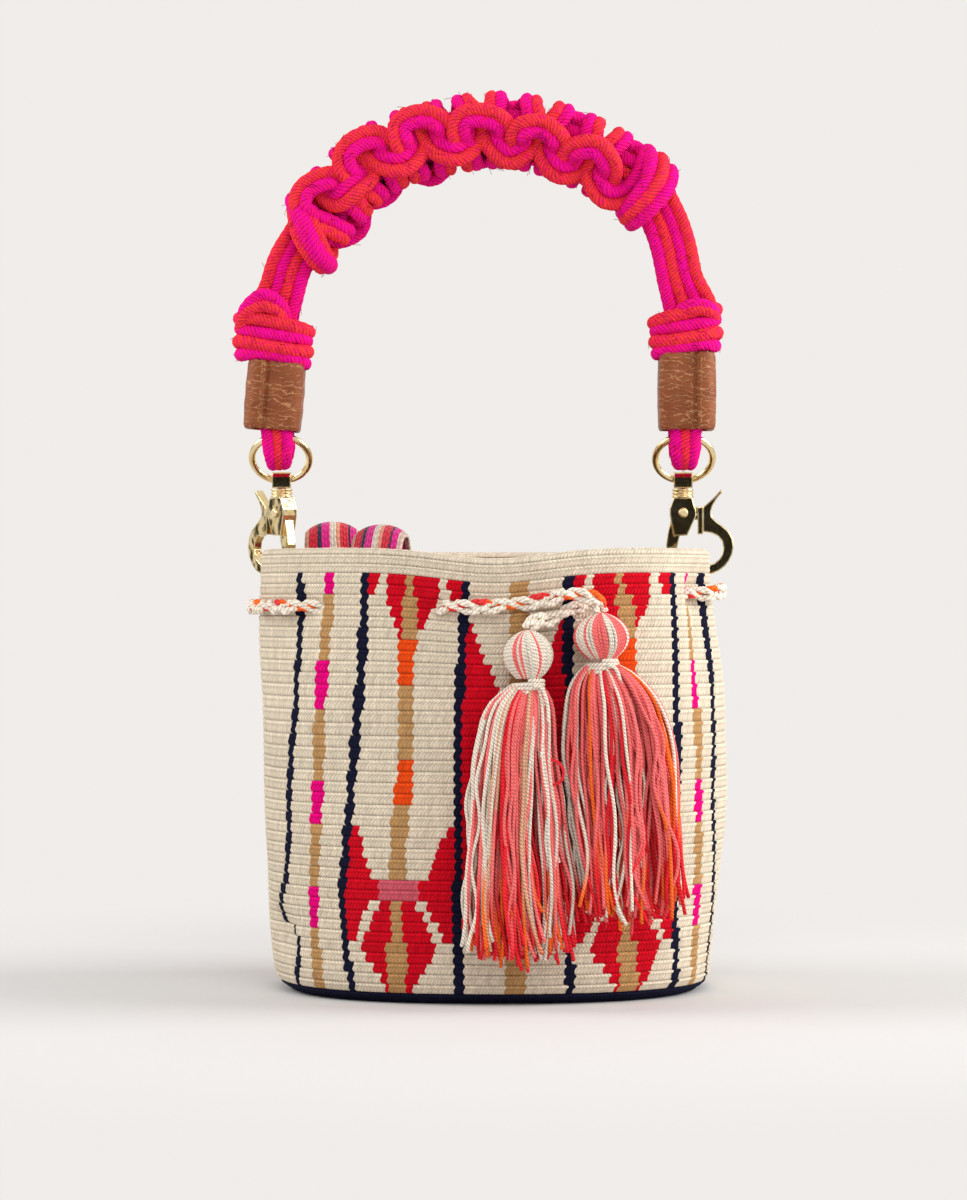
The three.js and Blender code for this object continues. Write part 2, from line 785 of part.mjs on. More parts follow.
// Cheeks, collar and fixed jaw, cast as one
function snapCasting() {
  const cheeks = outlineOf([
    [-3.4, collarBottom + 0.2],
    [-5, 1.5],
    [-5, -1],
    [-3.4, -8.6],
    [1.6, -8.4],
    [4.9, -1],
    [4.7, 1],
    [3.8, 3.6],
    [3.2, collarBottom + 0.2],
  ]);
  const jaw = outlineOf([
    [-4.4, -2],
    [-5.6, -7],
    [-6.3, -12],
    [-5.6, -17],
    [-3.2, -20.8],
    [0.4, -hookPass - 1.5],
    [7.6, -hookPass - 1.5],
    [7.6, -hookPass + 1.5],
    [1.8, -hookPass + 1.5],
    [-1.2, -17.6],
    [-2.4, -13.6],
    [-1, -8],
    [-1, -4],
  ]);
  const collar = turned(
    [
      [0, collarBottom],
      [collarRadius, collarBottom],
      [collarRadius, collarBottom + 1.3],
      [collarRadius - 0.5, collarBottom + 1.6],
      [collarRadius - 0.1, collarBottom + 1.9],
      [collarRadius - 0.1, collarTop],
      [0, collarTop],
    ],
    14,
  );
  const slotWidth = castingThickness - 2 * cheekThickness;
  const slot = new THREE.BoxGeometry(12, slotWidth, 14);
  slot.translate(-2.9 + 6, 0, 3.6 - 7);
  const headSpace = postHeadRadius + clearance;
  const bore = turned(
    [
      [0, 3],
      [headSpace, 3],
      [headSpace, collarBottom + 0.4],
      [postRadius + clearance, collarBottom + 0.4],
      [postRadius + clearance, collarTop + 1],
      [0, collarTop + 1],
    ],
    12,
  );
  const rivetHole = rodAlongY(rivetRadius + clearance, castingThickness * 2);
  return fromSolid(
    joined([plateXZ(cheeks, castingThickness), collar])
      .subtract(toSolid(slot))
      .add(toSolid(plateXZ(jaw, jawThickness)))
      .subtract(toSolid(triggerSweep()))
      .subtract(toSolid(bore))
      .subtract(toSolid(rivetHole)),
  );
}

// The room that the trigger's hub turns in
function triggerSweep() {
  return rodAlongY(3.1, castingThickness - 2 * cheekThickness);
}

function rivet() {
  const reach = castingThickness / 2 + clearance / 2;
  const profile = [
    [0, -reach - rivetHeadHeight],
    [rivetHeadRadius * 0.7, -reach - rivetHeadHeight],
    [rivetHeadRadius, -reach],
    [rivetRadius, -reach],
    [rivetRadius, reach],
    [rivetHeadRadius, reach],
    [rivetHeadRadius * 0.7, reach + rivetHeadHeight],
    [0, reach + rivetHeadHeight],
  ];
  const pin = turned(profile, 12);
  pin.rotateX(Math.PI / 2);
  return pin;
}

function trigger() {
  const slotHalf = castingThickness / 2 - cheekThickness;
  const hubCentre = -slotHalf + clearance + triggerHub / 2;
  const hub = new THREE.CylinderGeometry(2.7, 2.7, triggerHub, 14);
  hub.translate(0, hubCentre, 0);
  const web = plateXZ(
    outlineOf([
      [0, -2.6],
      [6, -2.6],
      [6, 2],
      [0, 2.6],
    ]),
    triggerHub,
    hubCentre,
  );
  const shoulder = plateXZ(
    outlineOf([
      [5.45, -8],
      [7.4, -8],
      [7.4, 2.3],
      [5, 2.2],
      [5.45, 0],
    ]),
    castingThickness - 0.4,
  );
  const hook = new THREE.Shape();
  hook.moveTo(7, 2);
  hook.quadraticCurveTo(9.6, 3.4, 14.2, 8.7);
  hook.lineTo(14.9, 8);
  hook.quadraticCurveTo(9.4, 2, 10.6, -1.2);
  hook.quadraticCurveTo(11.6, -2.6, 14.4, -4.6);
  hook.bezierCurveTo(18.4, -7, 19.8, -11.6, 18.4, -15.6);
  hook.quadraticCurveTo(16.4, -21.2, 10.8, -hookPass - 1.4);
  hook.lineTo(8, -hookPass - 1.2);
  hook.lineTo(8, -hookPass + 1.4);
  hook.lineTo(9.8, -hookPass + 1.9);
  hook.quadraticCurveTo(14.6, -18.2, 15.2, -13.4);
  hook.quadraticCurveTo(15.4, -7.4, 7, -7);
  const blade = plateXZ(hook, triggerThickness);
  const solid = joined([hub, web, shoulder, blade]);
  return fromSolid(solid.subtract(toSolid(rodAlongY(rivetRadius + clearance, castingThickness * 2))));
}

function torsionSpring() {
  const slotHalf = castingThickness / 2 - cheekThickness;
  const low = -slotHalf + 2 * clearance + triggerHub + springWire / 2;
  const high = slotHalf - clearance - springWire / 2;
  const turns = 2;
  const steps = 8;
  const points = [new THREE.Vector3(springRadius, low, -2.6)];
  for (let i = 0; i <= turns * steps; i += 1) {
    const angle = (2 * Math.PI * i) / steps;
    points.push(
      new THREE.Vector3(
        springRadius * Math.cos(angle),
        low + ((high - low) * i) / (turns * steps),
        springRadius * Math.sin(angle),
      ),
    );
  }
  points.push(new THREE.Vector3(springRadius, high, 1.4));
  return cordAlong(points, springWire, 5);
}

// Where a snap stands: the rivet's place and the turn of the snap's plane about its post
function snapFrame({ post, turn }) {
  const frame = new THREE.Group();
  frame.position.set(post, 0, rivetHeight);
  frame.rotation.z = THREE.MathUtils.degToRad(turn);
  bag.add(frame);
  return frame;
}

// The way of a snap's hook through the wall, with room for the snap to rock and turn
function hookPassage({ post, turn }) {
  const room = 0.9;
  const passage = new THREE.BoxGeometry(16, jawThickness + 2 * room, 3 + 2 * room + 1);
  passage.translate(9, 0, 0.5 - hookPass);
  passage.rotateZ(THREE.MathUtils.degToRad(turn));
  passage.translate(post, 0, rivetHeight);
  return passage;
}

// Assembly

const drawstringRoute = drawstringPoints();
let bucketSolid = toSolid(bucket());
bucketSolid = bucketSolid.subtract(
  toSolid(cordAlong(drawstringRoute, drawstringDiameter + 2 * clearance)),
);
for (const snap of snaps) {
  bucketSolid = bucketSolid.subtract(toSolid(hookPassage(snap)));
}
addPiece("bag_body", fromSolid(bucketSolid), cream);
addPiece("drawstring", cordAlong(drawstringRoute, drawstringDiameter), braid);
addPiece("crossbody_strap", strap(), stripes);

for (const tassel of tassels) {
  addPiece(`${tassel.side}_tassel_yarn`, tasselYarn(tassel), coral);
  addPiece(`${tassel.side}_tassel_tie`, tasselTie(tassel), cream);
}

addPiece("outer_core_cord", coreCord(1), pink);
addPiece("middle_core_cord", coreCord(0), red);
addPiece("inner_core_cord", coreCord(-1), pink);
addPiece("handle_knots", handleKnots(), pink);
for (const leather of sleeves) {
  addPiece(`${leather.side}_wrap_pink`, wrapCord(leather, 0), pink);
  addPiece(`${leather.side}_wrap_red`, wrapCord(leather, 1), red);
  addPiece(`${leather.side}_sleeve`, sleeve(leather), tan);
}

for (const snap of snaps) {
  addPiece(`${snap.side}_ring`, ring(snap.post), gold);
  const eye = addPiece(`${snap.side}_eye`, swivelEye(), gold);
  eye.position.set(snap.post, 0, rivetHeight);
  const frame = snapFrame(snap);
  addPiece(`${snap.side}_snap_body`, snapCasting(), gold, frame);
  addPiece(`${snap.side}_trigger`, trigger(), gold, frame);
  addPiece(`${snap.side}_rivet`, rivet(), gold, frame);
  addPiece(`${snap.side}_spring`, torsionSpring(), steel, frame);
}

export default bag;
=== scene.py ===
# Crossbody bag: a crochet bucket bag with a knotted cord handle on two snap hooks.
# Lengths are in millimetres until a mesh is made, and angles round the bag are degrees from its front.

import math

import bpy
import numpy as np
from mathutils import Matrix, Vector


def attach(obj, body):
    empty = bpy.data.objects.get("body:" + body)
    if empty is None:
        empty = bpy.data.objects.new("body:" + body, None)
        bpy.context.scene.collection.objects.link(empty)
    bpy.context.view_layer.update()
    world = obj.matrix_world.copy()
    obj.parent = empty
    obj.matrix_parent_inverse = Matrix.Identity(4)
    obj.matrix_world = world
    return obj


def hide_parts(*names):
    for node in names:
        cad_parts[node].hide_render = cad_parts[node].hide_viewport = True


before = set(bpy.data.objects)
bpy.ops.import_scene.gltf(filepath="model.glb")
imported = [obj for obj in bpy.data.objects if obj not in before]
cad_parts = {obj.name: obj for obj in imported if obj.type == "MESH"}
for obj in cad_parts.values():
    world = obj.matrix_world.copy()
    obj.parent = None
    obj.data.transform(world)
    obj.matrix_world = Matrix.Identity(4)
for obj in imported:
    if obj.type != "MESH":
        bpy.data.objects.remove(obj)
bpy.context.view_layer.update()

MM = 0.001

# Sizes of the bag's body, the same as its solid's
BAG_HEIGHT = 163.0
BASE_HALF_WIDTH = 80.5
BASE_HALF_DEPTH = 69.0
WALL_HALF_WIDTH = 86.5
WALL_HALF_DEPTH = 75.0
BULGE_HEIGHT = 95.0
PLAN_POWER = 2.3
WALL_THICKNESS = 4.2
FLOOR_THICKNESS = 4.0
BASE_CORNER_RADIUS = 8.0
RIGHT_PINCH = 5.5
PINCH_START = 105.0
FRONT_DIP = 4.0
RIM_RADIUS = WALL_THICKNESS / 2

# Stitches
STITCHES = 360
RIM_ROWS = 3
RIM_ROW = 3.3
PATTERN_ROWS = 38
ROW_PITCH = 3.905

# Colours of the yarns, as they are written in the light of a plain studio
CREAM = "E0D1BA"
NAVY = "16172E"
RED = "CE0A20"
MAGENTA = "E6007A"
ORANGE = "EC4C16"
TAN = "BC905E"
DUSTY_PINK = "CF5A68"
BACKGROUND = "F0EDEA"


def linear(text):
    """A colour written as six hex digits, as linear red, green and blue."""
    parts = [int(text[i:i + 2], 16) / 255 for i in (0, 2, 4)]
    return np.array([p / 12.92 if p <= 0.04045 else ((p + 0.055) / 1.055) ** 2.4 for p in parts])


def smooth(value, start, end):
    """Rises smoothly from 0 at start to 1 at end."""
    share = np.clip((value - start) / (end - start), 0, 1)
    return share * share * (3 - 2 * share)


# Shape of the bag's body

def plan_radius(front_angle, height):
    """Distance from the bag's axis to its outer face."""
    angle = np.radians(front_angle - 90)
    rise = np.sin(np.pi / 2 * np.clip(height / BULGE_HEIGHT, 0, 1))
    half_width = BASE_HALF_WIDTH + (WALL_HALF_WIDTH - BASE_HALF_WIDTH) * rise
    half_depth = BASE_HALF_DEPTH + (WALL_HALF_DEPTH - BASE_HALF_DEPTH) * rise
    pinch = smooth(height, PINCH_START, BAG_HEIGHT - 8)
    half_width = half_width - RIGHT_PINCH * np.maximum(0, np.cos(angle)) ** 4 * pinch
    across = (np.abs(np.cos(angle)) / half_width) ** PLAN_POWER
    deep = (np.abs(np.sin(angle)) / half_depth) ** PLAN_POWER
    return (across + deep) ** (-1 / PLAN_POWER)


def rim_dip(front_angle, height):
    """How far the rim sinks at the front."""
    facing = np.maximum(0, np.cos(np.radians(front_angle)))
    return FRONT_DIP * facing ** 16 * smooth(height, BAG_HEIGHT * 0.6, BAG_HEIGHT)


def round_bag(front_angle, radius, height):
    """Points at an angle from the front, a distance from the bag's axis and a height."""
    angle = np.radians(front_angle - 90)
    return np.stack(np.broadcast_arrays(radius * np.cos(angle), radius * np.sin(angle), height), -1)


# Meshes

def new_object(name, points, faces, material, smooth_faces=True):
    """A mesh piece from points in millimetres. Faces are an index array of triangles or quads."""
    mesh = bpy.data.meshes.new(name)
    mesh.from_pydata((np.asarray(points) * MM).tolist(), [], np.asarray(faces).tolist())
    mesh.update()
    mesh.polygons.foreach_set("use_smooth", [smooth_faces] * len(mesh.polygons))
    mesh.materials.append(material)
    piece = bpy.data.objects.new(name, mesh)
    bpy.context.scene.collection.objects.link(piece)
    return piece


def grid_faces(rows, columns, closed=False):
    """Quads of a grid that closes on itself along its columns, and along its rows where it is closed."""
    row, column = np.meshgrid(np.arange(rows if closed else rows - 1), np.arange(columns), indexing="ij")
    here, above = row * columns, (row + 1) % rows * columns
    after = (column + 1) % columns
    return np.stack([here + column, above + column, above + after, here + after], -1).reshape(-1, 4)


def grid_corners(rows, columns):
    """Row and column of the four corners of each quad, in the order of grid_faces."""
    row, column = np.divmod(np.arange((rows - 1) * columns), columns)
    return np.stack([row, row + 1, row + 1, row], -1), np.stack([column, column, column + 1, column + 1], -1)


def set_uv(piece, name, corner_uv):
    layer = piece.data.uv_layers.new(name=name)
    layer.data.foreach_set("uv", np.asarray(corner_uv, dtype=np.float32).ravel())


def set_yarns(piece, colours, domain):
    """Stores the yarn's colour at each corner of a face, or at each point."""
    attribute = piece.data.color_attributes.new("yarn", "FLOAT_COLOR", domain)
    attribute.data.foreach_set("color", np.column_stack([colours, np.ones(len(colours))]).ravel())


# Node materials

class Nodes:
    """Builds the node tree of a material, or of the world, from short calls."""

    def __init__(self, name, collection=bpy.data.materials):
        self.owner = collection.new(name)
        self.owner.use_nodes = True
        self.tree = self.owner.node_tree
        self.shader = self.tree.nodes.get("Principled BSDF")

    def add(self, kind, **settings):
        node = self.tree.nodes.new(kind)
        for key, value in settings.items():
            setattr(node, key, value)
        return node

    def join(self, value, socket):
        if isinstance(value, bpy.types.NodeSocket):
            self.tree.links.new(value, socket)
        else:
            socket.default_value = value

    def math(self, operation, *values):
        node = self.add("ShaderNodeMath", operation=operation)
        for value, socket in zip(values, node.inputs):
            self.join(value, socket)
        return node.outputs[0]

    def uv(self, name):
        node = self.add("ShaderNodeUVMap", uv_map=name)
        parts = self.add("ShaderNodeSeparateXYZ")
        self.tree.links.new(node.outputs[0], parts.inputs[0])
        return parts.outputs[0], parts.outputs[1]

    def ramp(self, value, stops):
        """A grey ramp from a list of (position, brightness)."""
        node = self.add("ShaderNodeValToRGB")
        elements = node.color_ramp.elements
        while len(elements) < len(stops):
            elements.new(0.5)
        for element, (position, level) in zip(elements, stops):
            element.position = position
            element.color = (level, level, level, 1)
        self.join(value, node.inputs[0])
        return node.outputs[0]

    def noise(self, scale, detail, coordinates=None, roughness=0.5):
        node = self.add("ShaderNodeTexNoise")
        node.inputs["Scale"].default_value = scale
        node.inputs["Detail"].default_value = detail
        node.inputs["Roughness"].default_value = roughness
        if coordinates is None:
            coordinates = self.add("ShaderNodeTexCoord").outputs["Object"]
        self.tree.links.new(coordinates, node.inputs["Vector"])
        return node.outputs[0]

    def grain(self, scale, depth):
        """Fine mottling, a factor that keeps within a share of 1."""
        spread = self.ramp(self.noise(scale, 3.0, roughness=0.6), [(0.33, 0), (0.67, 1)])
        return self.math("MULTIPLY_ADD", spread, 2 * depth, 1 - depth)

    def attribute(self, name):
        return self.add("ShaderNodeAttribute", attribute_name=name).outputs["Color"]

    def tint(self, colour, factor):
        """A colour made darker or lighter by a grey factor."""
        node = self.add("ShaderNodeVectorMath", operation="SCALE")
        self.join(colour, node.inputs[0])
        self.join(factor, node.inputs["Scale"])
        return node.outputs[0]

    def mix(self, factor, first, second):
        node = self.add("ShaderNodeMix", data_type="RGBA")
        self.join(factor, node.inputs[0])
        for value, socket in ((first, node.inputs[6]), (second, node.inputs[7])):
            self.join(value if isinstance(value, bpy.types.NodeSocket) else (*value, 1), socket)
        return node.outputs[2]

    def bump(self, height, distance, normal=None):
        node = self.add("ShaderNodeBump")
        node.inputs["Strength"].default_value = 1
        node.inputs["Distance"].default_value = distance * MM
        self.join(height, node.inputs["Height"])
        if normal:
            self.join(normal, node.inputs["Normal"])
        self.join(node.outputs[0], self.shader.inputs["Normal"])

    def set(self, **values):
        for key, value in values.items():
            self.join(value, self.shader.inputs[key.replace("_", " ")])

    def seen(self):
        """1 for rays from the camera, and for those seen in metal or through glass."""
        path = self.add("ShaderNodeLightPath")
        seen = self.math("MAXIMUM", path.outputs["Is Camera Ray"], path.outputs["Is Glossy Ray"])
        return self.math("MAXIMUM", seen, path.outputs["Is Transmission Ray"])

    def mix_shaders(self, factor, first, second, output):
        node = self.add("ShaderNodeMixShader")
        for value, socket in zip((factor, first, second), node.inputs):
            self.join(value, socket)
        self.join(node.outputs[0], output)


# Crochet

def wave(nodes, turns):
    """A smooth wave between 0 and 1, one for each turn."""
    swing = nodes.math("COSINE", nodes.math("MULTIPLY", turns, 2 * math.pi))
    return nodes.math("MULTIPLY_ADD", swing, 0.5, 0.5)


def crochet_material():
    nodes = Nodes("crochet_yarn")
    u, v = nodes.uv("stitches")
    level = nodes.math("FRACT", v)
    wandering = nodes.math("MULTIPLY_ADD", nodes.noise(500, 2.0), 0.8, u)
    ridge = wave(nodes, nodes.math("MULTIPLY_ADD", level, 2.6, wandering))
    band = wave(nodes, nodes.math("MULTIPLY_ADD", level, -1.5, wandering))
    on_ridge = nodes.ramp(level, [(0.64, 0), (0.74, 1)])
    mix = nodes.add("ShaderNodeMix", data_type="FLOAT")
    for value, place in ((on_ridge, 0), (band, 2), (ridge, 3)):
        nodes.join(value, mix.inputs[place])
    strokes = mix.outputs[0]
    # Painted shade and highlight across each row: darker in the groove between rows and in a thin line under
    # the ridge, lighter along the ridge.
    shade = nodes.ramp(level, [
        (0, 0.58), (0.06, 0.8), (0.14, 0.95), (0.34, 0.99), (0.55, 0.94), (0.66, 0.82), (0.74, 1.05),
        (0.86, 1.12), (0.95, 0.98), (1, 0.6),
    ])
    # The strokes add painted shade between the strands of each stitch.
    shade = nodes.math("MULTIPLY", shade, nodes.math("MULTIPLY_ADD", strokes, 0.2, 0.88))
    mottle = nodes.math("MULTIPLY", nodes.grain(2600, 0.13), nodes.grain(700, 0.06))
    colour = nodes.tint(nodes.attribute("yarn"), nodes.math("MULTIPLY", shade, mottle))
    nodes.set(Base_Color=colour, Roughness=0.95, Specular_IOR_Level=0.08)
    nodes.bump(nodes.math("MULTIPLY_ADD", nodes.noise(2600, 3.0), 0.8, strokes), 0.26)
    return nodes.owner


# Profile of one crocheted row, as (share of its height from below, how far it stands proud)
ROW_PROFILE = ((0.0, -0.46), (0.1, -0.06), (0.34, 0.12), (0.6, -0.04), (0.75, 0.22), (0.9, 0.22))

# The outer profile, from the top of the rim down: half a rim, the straight wall and the base's corner
RIM_ARC = math.pi * RIM_RADIUS / 2
STRAIGHT = BAG_HEIGHT - RIM_RADIUS - BASE_CORNER_RADIUS
OUTER_LENGTH = RIM_ARC + STRAIGHT + math.pi * BASE_CORNER_RADIUS / 2


def row_edges():
    """Lengths along the outer profile at which rows meet."""
    row = np.arange(PATTERN_ROWS) + 0.5
    taller = 0.675 * np.exp(-((row - 12) / 4) ** 2) - 0.142 * smooth(row, 20, 28)
    rim = [-RIM_ARC] + [RIM_ROW * i for i in range(RIM_ROWS + 1)]
    pattern = rim[-1] + np.cumsum(ROW_PITCH + taller)
    return np.array([*rim, *pattern, (pattern[-1] + OUTER_LENGTH) / 2, OUTER_LENGTH])


def outer_profile(length):
    """(offset from the outer face, height, outward and upward part of the normal) at a length."""
    over = np.clip(length / RIM_RADIUS, -math.pi / 2, math.pi / 2)
    under = np.clip((length - RIM_ARC - STRAIGHT) / BASE_CORNER_RADIUS, 0, math.pi / 2)
    down = np.clip(length - RIM_ARC, 0, STRAIGHT)
    offset = -RIM_RADIUS * (1 - np.sin(over)) - BASE_CORNER_RADIUS * (1 - np.cos(under))
    height = BAG_HEIGHT - RIM_RADIUS * (1 - np.cos(over)) - down - BASE_CORNER_RADIUS * np.sin(under)
    outward = np.where(under > 0, np.cos(under), np.sin(over))
    upward = np.where(under > 0, -np.sin(under), np.cos(over))
    return offset, height, outward, upward


# Lines of the pattern, as (height, angle) from the top down
NAVY_1 = ((154, -55.6), (130, -54.8), (108, -56), (82, -58.2), (60, -61), (42, -64.5), (33, -69.5), (26, -72),
          (23, -61), (14, -61), (4, -63))
PINK_LEFT = ((154, -45.3), (108, -47.2), (72, -48.8), (32, -53.4), (3, -52.9))
NAVY_2 = ((154, -34.6), (126, -35.4), (90, -37.4), (54, -41), (36, -43), (20, -43), (4, -41.5))
COLUMN_A = ((155, -22.5), (127, -23.6), (84, -23.6), (55, -25.9), (37, -26.9), (17, -28.2), (0, -28.9))
NAVY_3 = ((157, -7.6), (146, -8), (116, -9.5), (73, -9.8), (37, -10.1), (0, -10.6))
COLUMN_B = ((154, 6.5), (16, 6.1))
NAVY_4 = ((155, 19.8), (127, 19.8), (16, 21.2), (0, 22.5))
COLUMN_C = ((151, 33.3), (144, 35.2), (26, 37.9), (0, 39.9))
NAVY_5 = ((154, 49.9), (130, 50.2), (90, 50.6), (43, 52.3), (3, 55))
PINK_RIGHT = ((154, 57.6), (111, 58.8), (71, 60.1), (35, 62.6), (0, 64))
NAVY_6 = ((154, 66.5), (120, 66.5), (100, 66.5), (71, 68.5), (25, 74), (0, 76))
LINE_HALF_WIDTH = 1.6
STRIPE_HALF_WIDTH = 2.6
STAR_COLUMN_HALF_WIDTH = 3.1
FANG_COLUMN_HALF_WIDTH = 3.3
# Angles at which the front's pattern ends, and the turn of the back's panels
FRONT_END_LEFT = 78
FRONT_END_RIGHT = 80
BACK_TURN = 187.0


def line_angle(line, height):
    heights, angles = zip(*reversed(line))
    return np.interp(height, heights, angles)


def star_panel(row, across, distance):
    """Yarn of the panel with red stars: across runs from -1 to 1, and distance is from its column."""
    side = abs(across)
    if row < 6:
        if row < 2 and side > 0.75 + 0.06 * row:
            return RED
        inner = 0.58 - 0.105 * max(0, row - 1.5)
        if side < (0.09 if row < 2 else 0.18):
            return TAN
        return RED if side < inner else CREAM
    if row < 22 or (row < 27 and side < 0.85 - 0.078 * (row - 22)):
        if abs(distance) < STAR_COLUMN_HALF_WIDTH:
            return ORANGE if row in range(6, 10) or row in range(16, 20) else TAN
        return CREAM
    if row < 29:
        return DUSTY_PINK if row > 26 and side < 0.36 else RED
    spot = 0.45 + 0.088 * (row - 29)
    if side < (0.11 if row < 33 else 0.19):
        return TAN
    if row < 34:
        return CREAM if abs(side - spot) < 0.092 or (row == 33 and side > 0.72) else RED
    return RED if side < 0.62 - 0.115 * (row - 34) else CREAM


def fang_panel(row, across, distance):
    """Yarn of the panel with two red triangles that meet at its column."""
    side = abs(across)
    closing = 0.97 - 0.1 * (row - 3.5) if row < 15 else 0.97 - 0.1 * (27.5 - row)
    if 4 <= row <= 27 and side > closing:
        return DUSTY_PINK if row in (14, 15) and side < 0.22 else RED
    return TAN if abs(distance) < FANG_COLUMN_HALF_WIDTH else CREAM


def stripe(row):
    """Yarn of a narrow stripe: four rows in ten are magenta."""
    return MAGENTA if (row + 2) % 10 < 4 else TAN


def yarn_at(angle, height, row):
    """Yarn of one stitch."""
    if row < 0:
        return CREAM
    if row >= PATTERN_ROWS:
        return NAVY
    if not -FRONT_END_LEFT <= angle <= FRONT_END_RIGHT:
        angle = (angle - BACK_TURN + 180) % 360 - 180
        if not -FRONT_END_LEFT <= angle <= FRONT_END_RIGHT:
            return CREAM
    radius = plan_radius(angle, height)
    half_line = math.degrees(LINE_HALF_WIDTH / radius) * (1 + 0.12 * abs(angle) / 60)
    lines = [line_angle(line, height) for line in (NAVY_1, NAVY_2, NAVY_3, NAVY_4, NAVY_5, NAVY_6)]
    if any(abs(angle - line) < half_line for line in lines):
        return NAVY
    for line in (PINK_LEFT, PINK_RIGHT):
        if abs(math.radians(angle - line_angle(line, height)) * radius) < STRIPE_HALF_WIDTH:
            return stripe(row)
    for left, right, line, panel in (
        (lines[1], lines[2], COLUMN_A, star_panel),
        (lines[2], lines[3], COLUMN_B, fang_panel),
        (lines[3], lines[4], COLUMN_C, star_panel),
    ):
        if left < angle < right:
            middle = line_angle(line, height)
            inside = right - half_line - middle if angle > middle else middle - left - half_line
            return panel(row, (angle - middle) / inside, math.radians(angle - middle) * radius)
    return CREAM


def sideways(v):
    """How far a stitch leans within its row, in stitches: it bulges back, then reaches on to its tip."""
    return np.interp(v, (0, 0.1, 0.34, 0.6, 0.75, 0.9, 1), (0.3, 0.1, -0.06, 0.18, 0.52, 0.62, 0.3))


def wall_shape(front_angle, height):
    """Small folds and unevenness of the soft wall, in millimetres outward."""
    turn = np.radians(front_angle)
    uneven = 0.5 * np.sin(3 * turn + height / 23) + 0.35 * np.sin(7 * turn - height / 17 + 1.3)
    uneven = uneven + 0.25 * np.sin(13 * turn + height / 9)
    groove = -3.0 * np.exp(-((front_angle - 61 - 0.06 * (height - 130)) / 4.5) ** 2)
    groove = groove * smooth(height, 88, 122) * (1 - 0.5 * smooth(height, 150, 163))
    dent = -3.2 * np.exp(-((front_angle + 70) / 7.5) ** 2 - ((height - 24) / 6.5) ** 2)
    return uneven * smooth(height, 0, 12) + groove + dent


EYELETS = (25, 61, 106, 138, 168, 192, 222, 254, 309, 345)
DIMPLE_HALF_TURN = 3.6
DIMPLE_HALF_HEIGHT = 4.2
DIMPLE_DEPTH = 2.4
DRAWSTRING_HEIGHT = 142.0
DRAWSTRING_RISE = 6.0


def drawstring_level(front_angle):
    """Height of the drawstring, which rises towards the right side."""
    side = np.maximum(0, np.sin(np.radians(front_angle)))
    return DRAWSTRING_HEIGHT + DRAWSTRING_RISE * side ** 2


def eyelet_dimples(front_angle, height):
    """How far the wall sinks round each hole that the drawstring passes."""
    sunk = np.zeros(np.broadcast(front_angle, height).shape)
    for eyelet in EYELETS:
        across = ((front_angle - eyelet + 180) % 360 - 180) / DIMPLE_HALF_TURN
        up = (height - drawstring_level(eyelet)) / DIMPLE_HALF_HEIGHT
        sunk = sunk + DIMPLE_DEPTH * np.exp(-(across ** 2 + up ** 2))
    return sunk


def crochet_sheet(name, points, v, stitch_width, yarns, material, outward=False):
    """A sheet from rows of points. v counts rows of stitches, and a cell is stitch_width stitches wide."""
    points = np.asarray(points)
    rows, columns = points.shape[:2]
    order = slice(None, None, -1 if outward else 1)
    corner_rows, corner_columns = (corners[:, order] for corners in grid_corners(rows, columns))
    quads = grid_faces(rows, columns)[:, order]
    sheet = new_object(name, points.reshape(-1, 3), quads, material)
    set_uv(sheet, "stitches", np.stack([corner_columns * stitch_width, v[corner_rows]], -1).reshape(-1, 2))
    set_yarns(sheet, np.repeat(np.broadcast_to(yarns, (len(quads), 3)), 4, axis=0), "CORNER")
    return sheet


def crochet_wall(material):
    """The outer face and rim, one cell to a stitch, from the base up."""
    edges = row_edges()
    rows = len(edges) - 1
    stations = [
        (edges[k + 1] - (edges[k + 1] - edges[k]) * share, level, sideways(share), rows - 1 - k + share)
        for k in reversed(range(rows)) for share, level in ROW_PROFILE
    ]
    stations.append((edges[0], ROW_PROFILE[0][1], sideways(0), rows))
    lengths, relief, lean, v = np.array(stations).T
    turn = 360.0 / STITCHES
    front_angle = ((np.arange(STITCHES)[None, :] + lean[:, None]) * turn + 180) % 360 - 180
    offset, height, outward, upward = (part[:, None] for part in outer_profile(lengths))
    random = np.random.default_rng(7)
    reach = relief[:, None] + random.normal(0, 0.045, front_angle.shape)
    shaped = wall_shape(front_angle, height) - eyelet_dimples(front_angle, height)
    radius = plan_radius(front_angle, height) + offset + outward * reach + shaped
    z = np.maximum(height + upward * reach - rim_dip(front_angle, height), 0.02)
    yarns = np.repeat(stitch_yarns(edges, turn, random)[::-1], len(ROW_PROFILE), axis=0).reshape(-1, 3)
    points = round_bag(front_angle, radius, z)
    return crochet_sheet("crochet_wall", points, v, 1, yarns, material, outward=True)


def stitch_yarns(edges, turn, random):
    """Colour of each stitch, by its row from the rim and its column."""
    palette = {name: linear(name) for name in (CREAM, NAVY, RED, MAGENTA, ORANGE, TAN, DUSTY_PINK)}
    rows = len(edges) - 1
    colours = np.zeros((rows, STITCHES, 3))
    for k in range(rows):
        height = float(outer_profile((edges[k] + edges[k + 1]) / 2)[1])
        for column in range(STITCHES):
            angle = ((column + 0.7) * turn + 180) % 360 - 180
            colours[k, column] = palette[yarn_at(angle, height, k - RIM_ROWS - 1)]
    return colours * (1 + random.normal(0, 0.045, (rows, STITCHES, 1)) + random.normal(0, 0.02, (rows, 1, 1)))


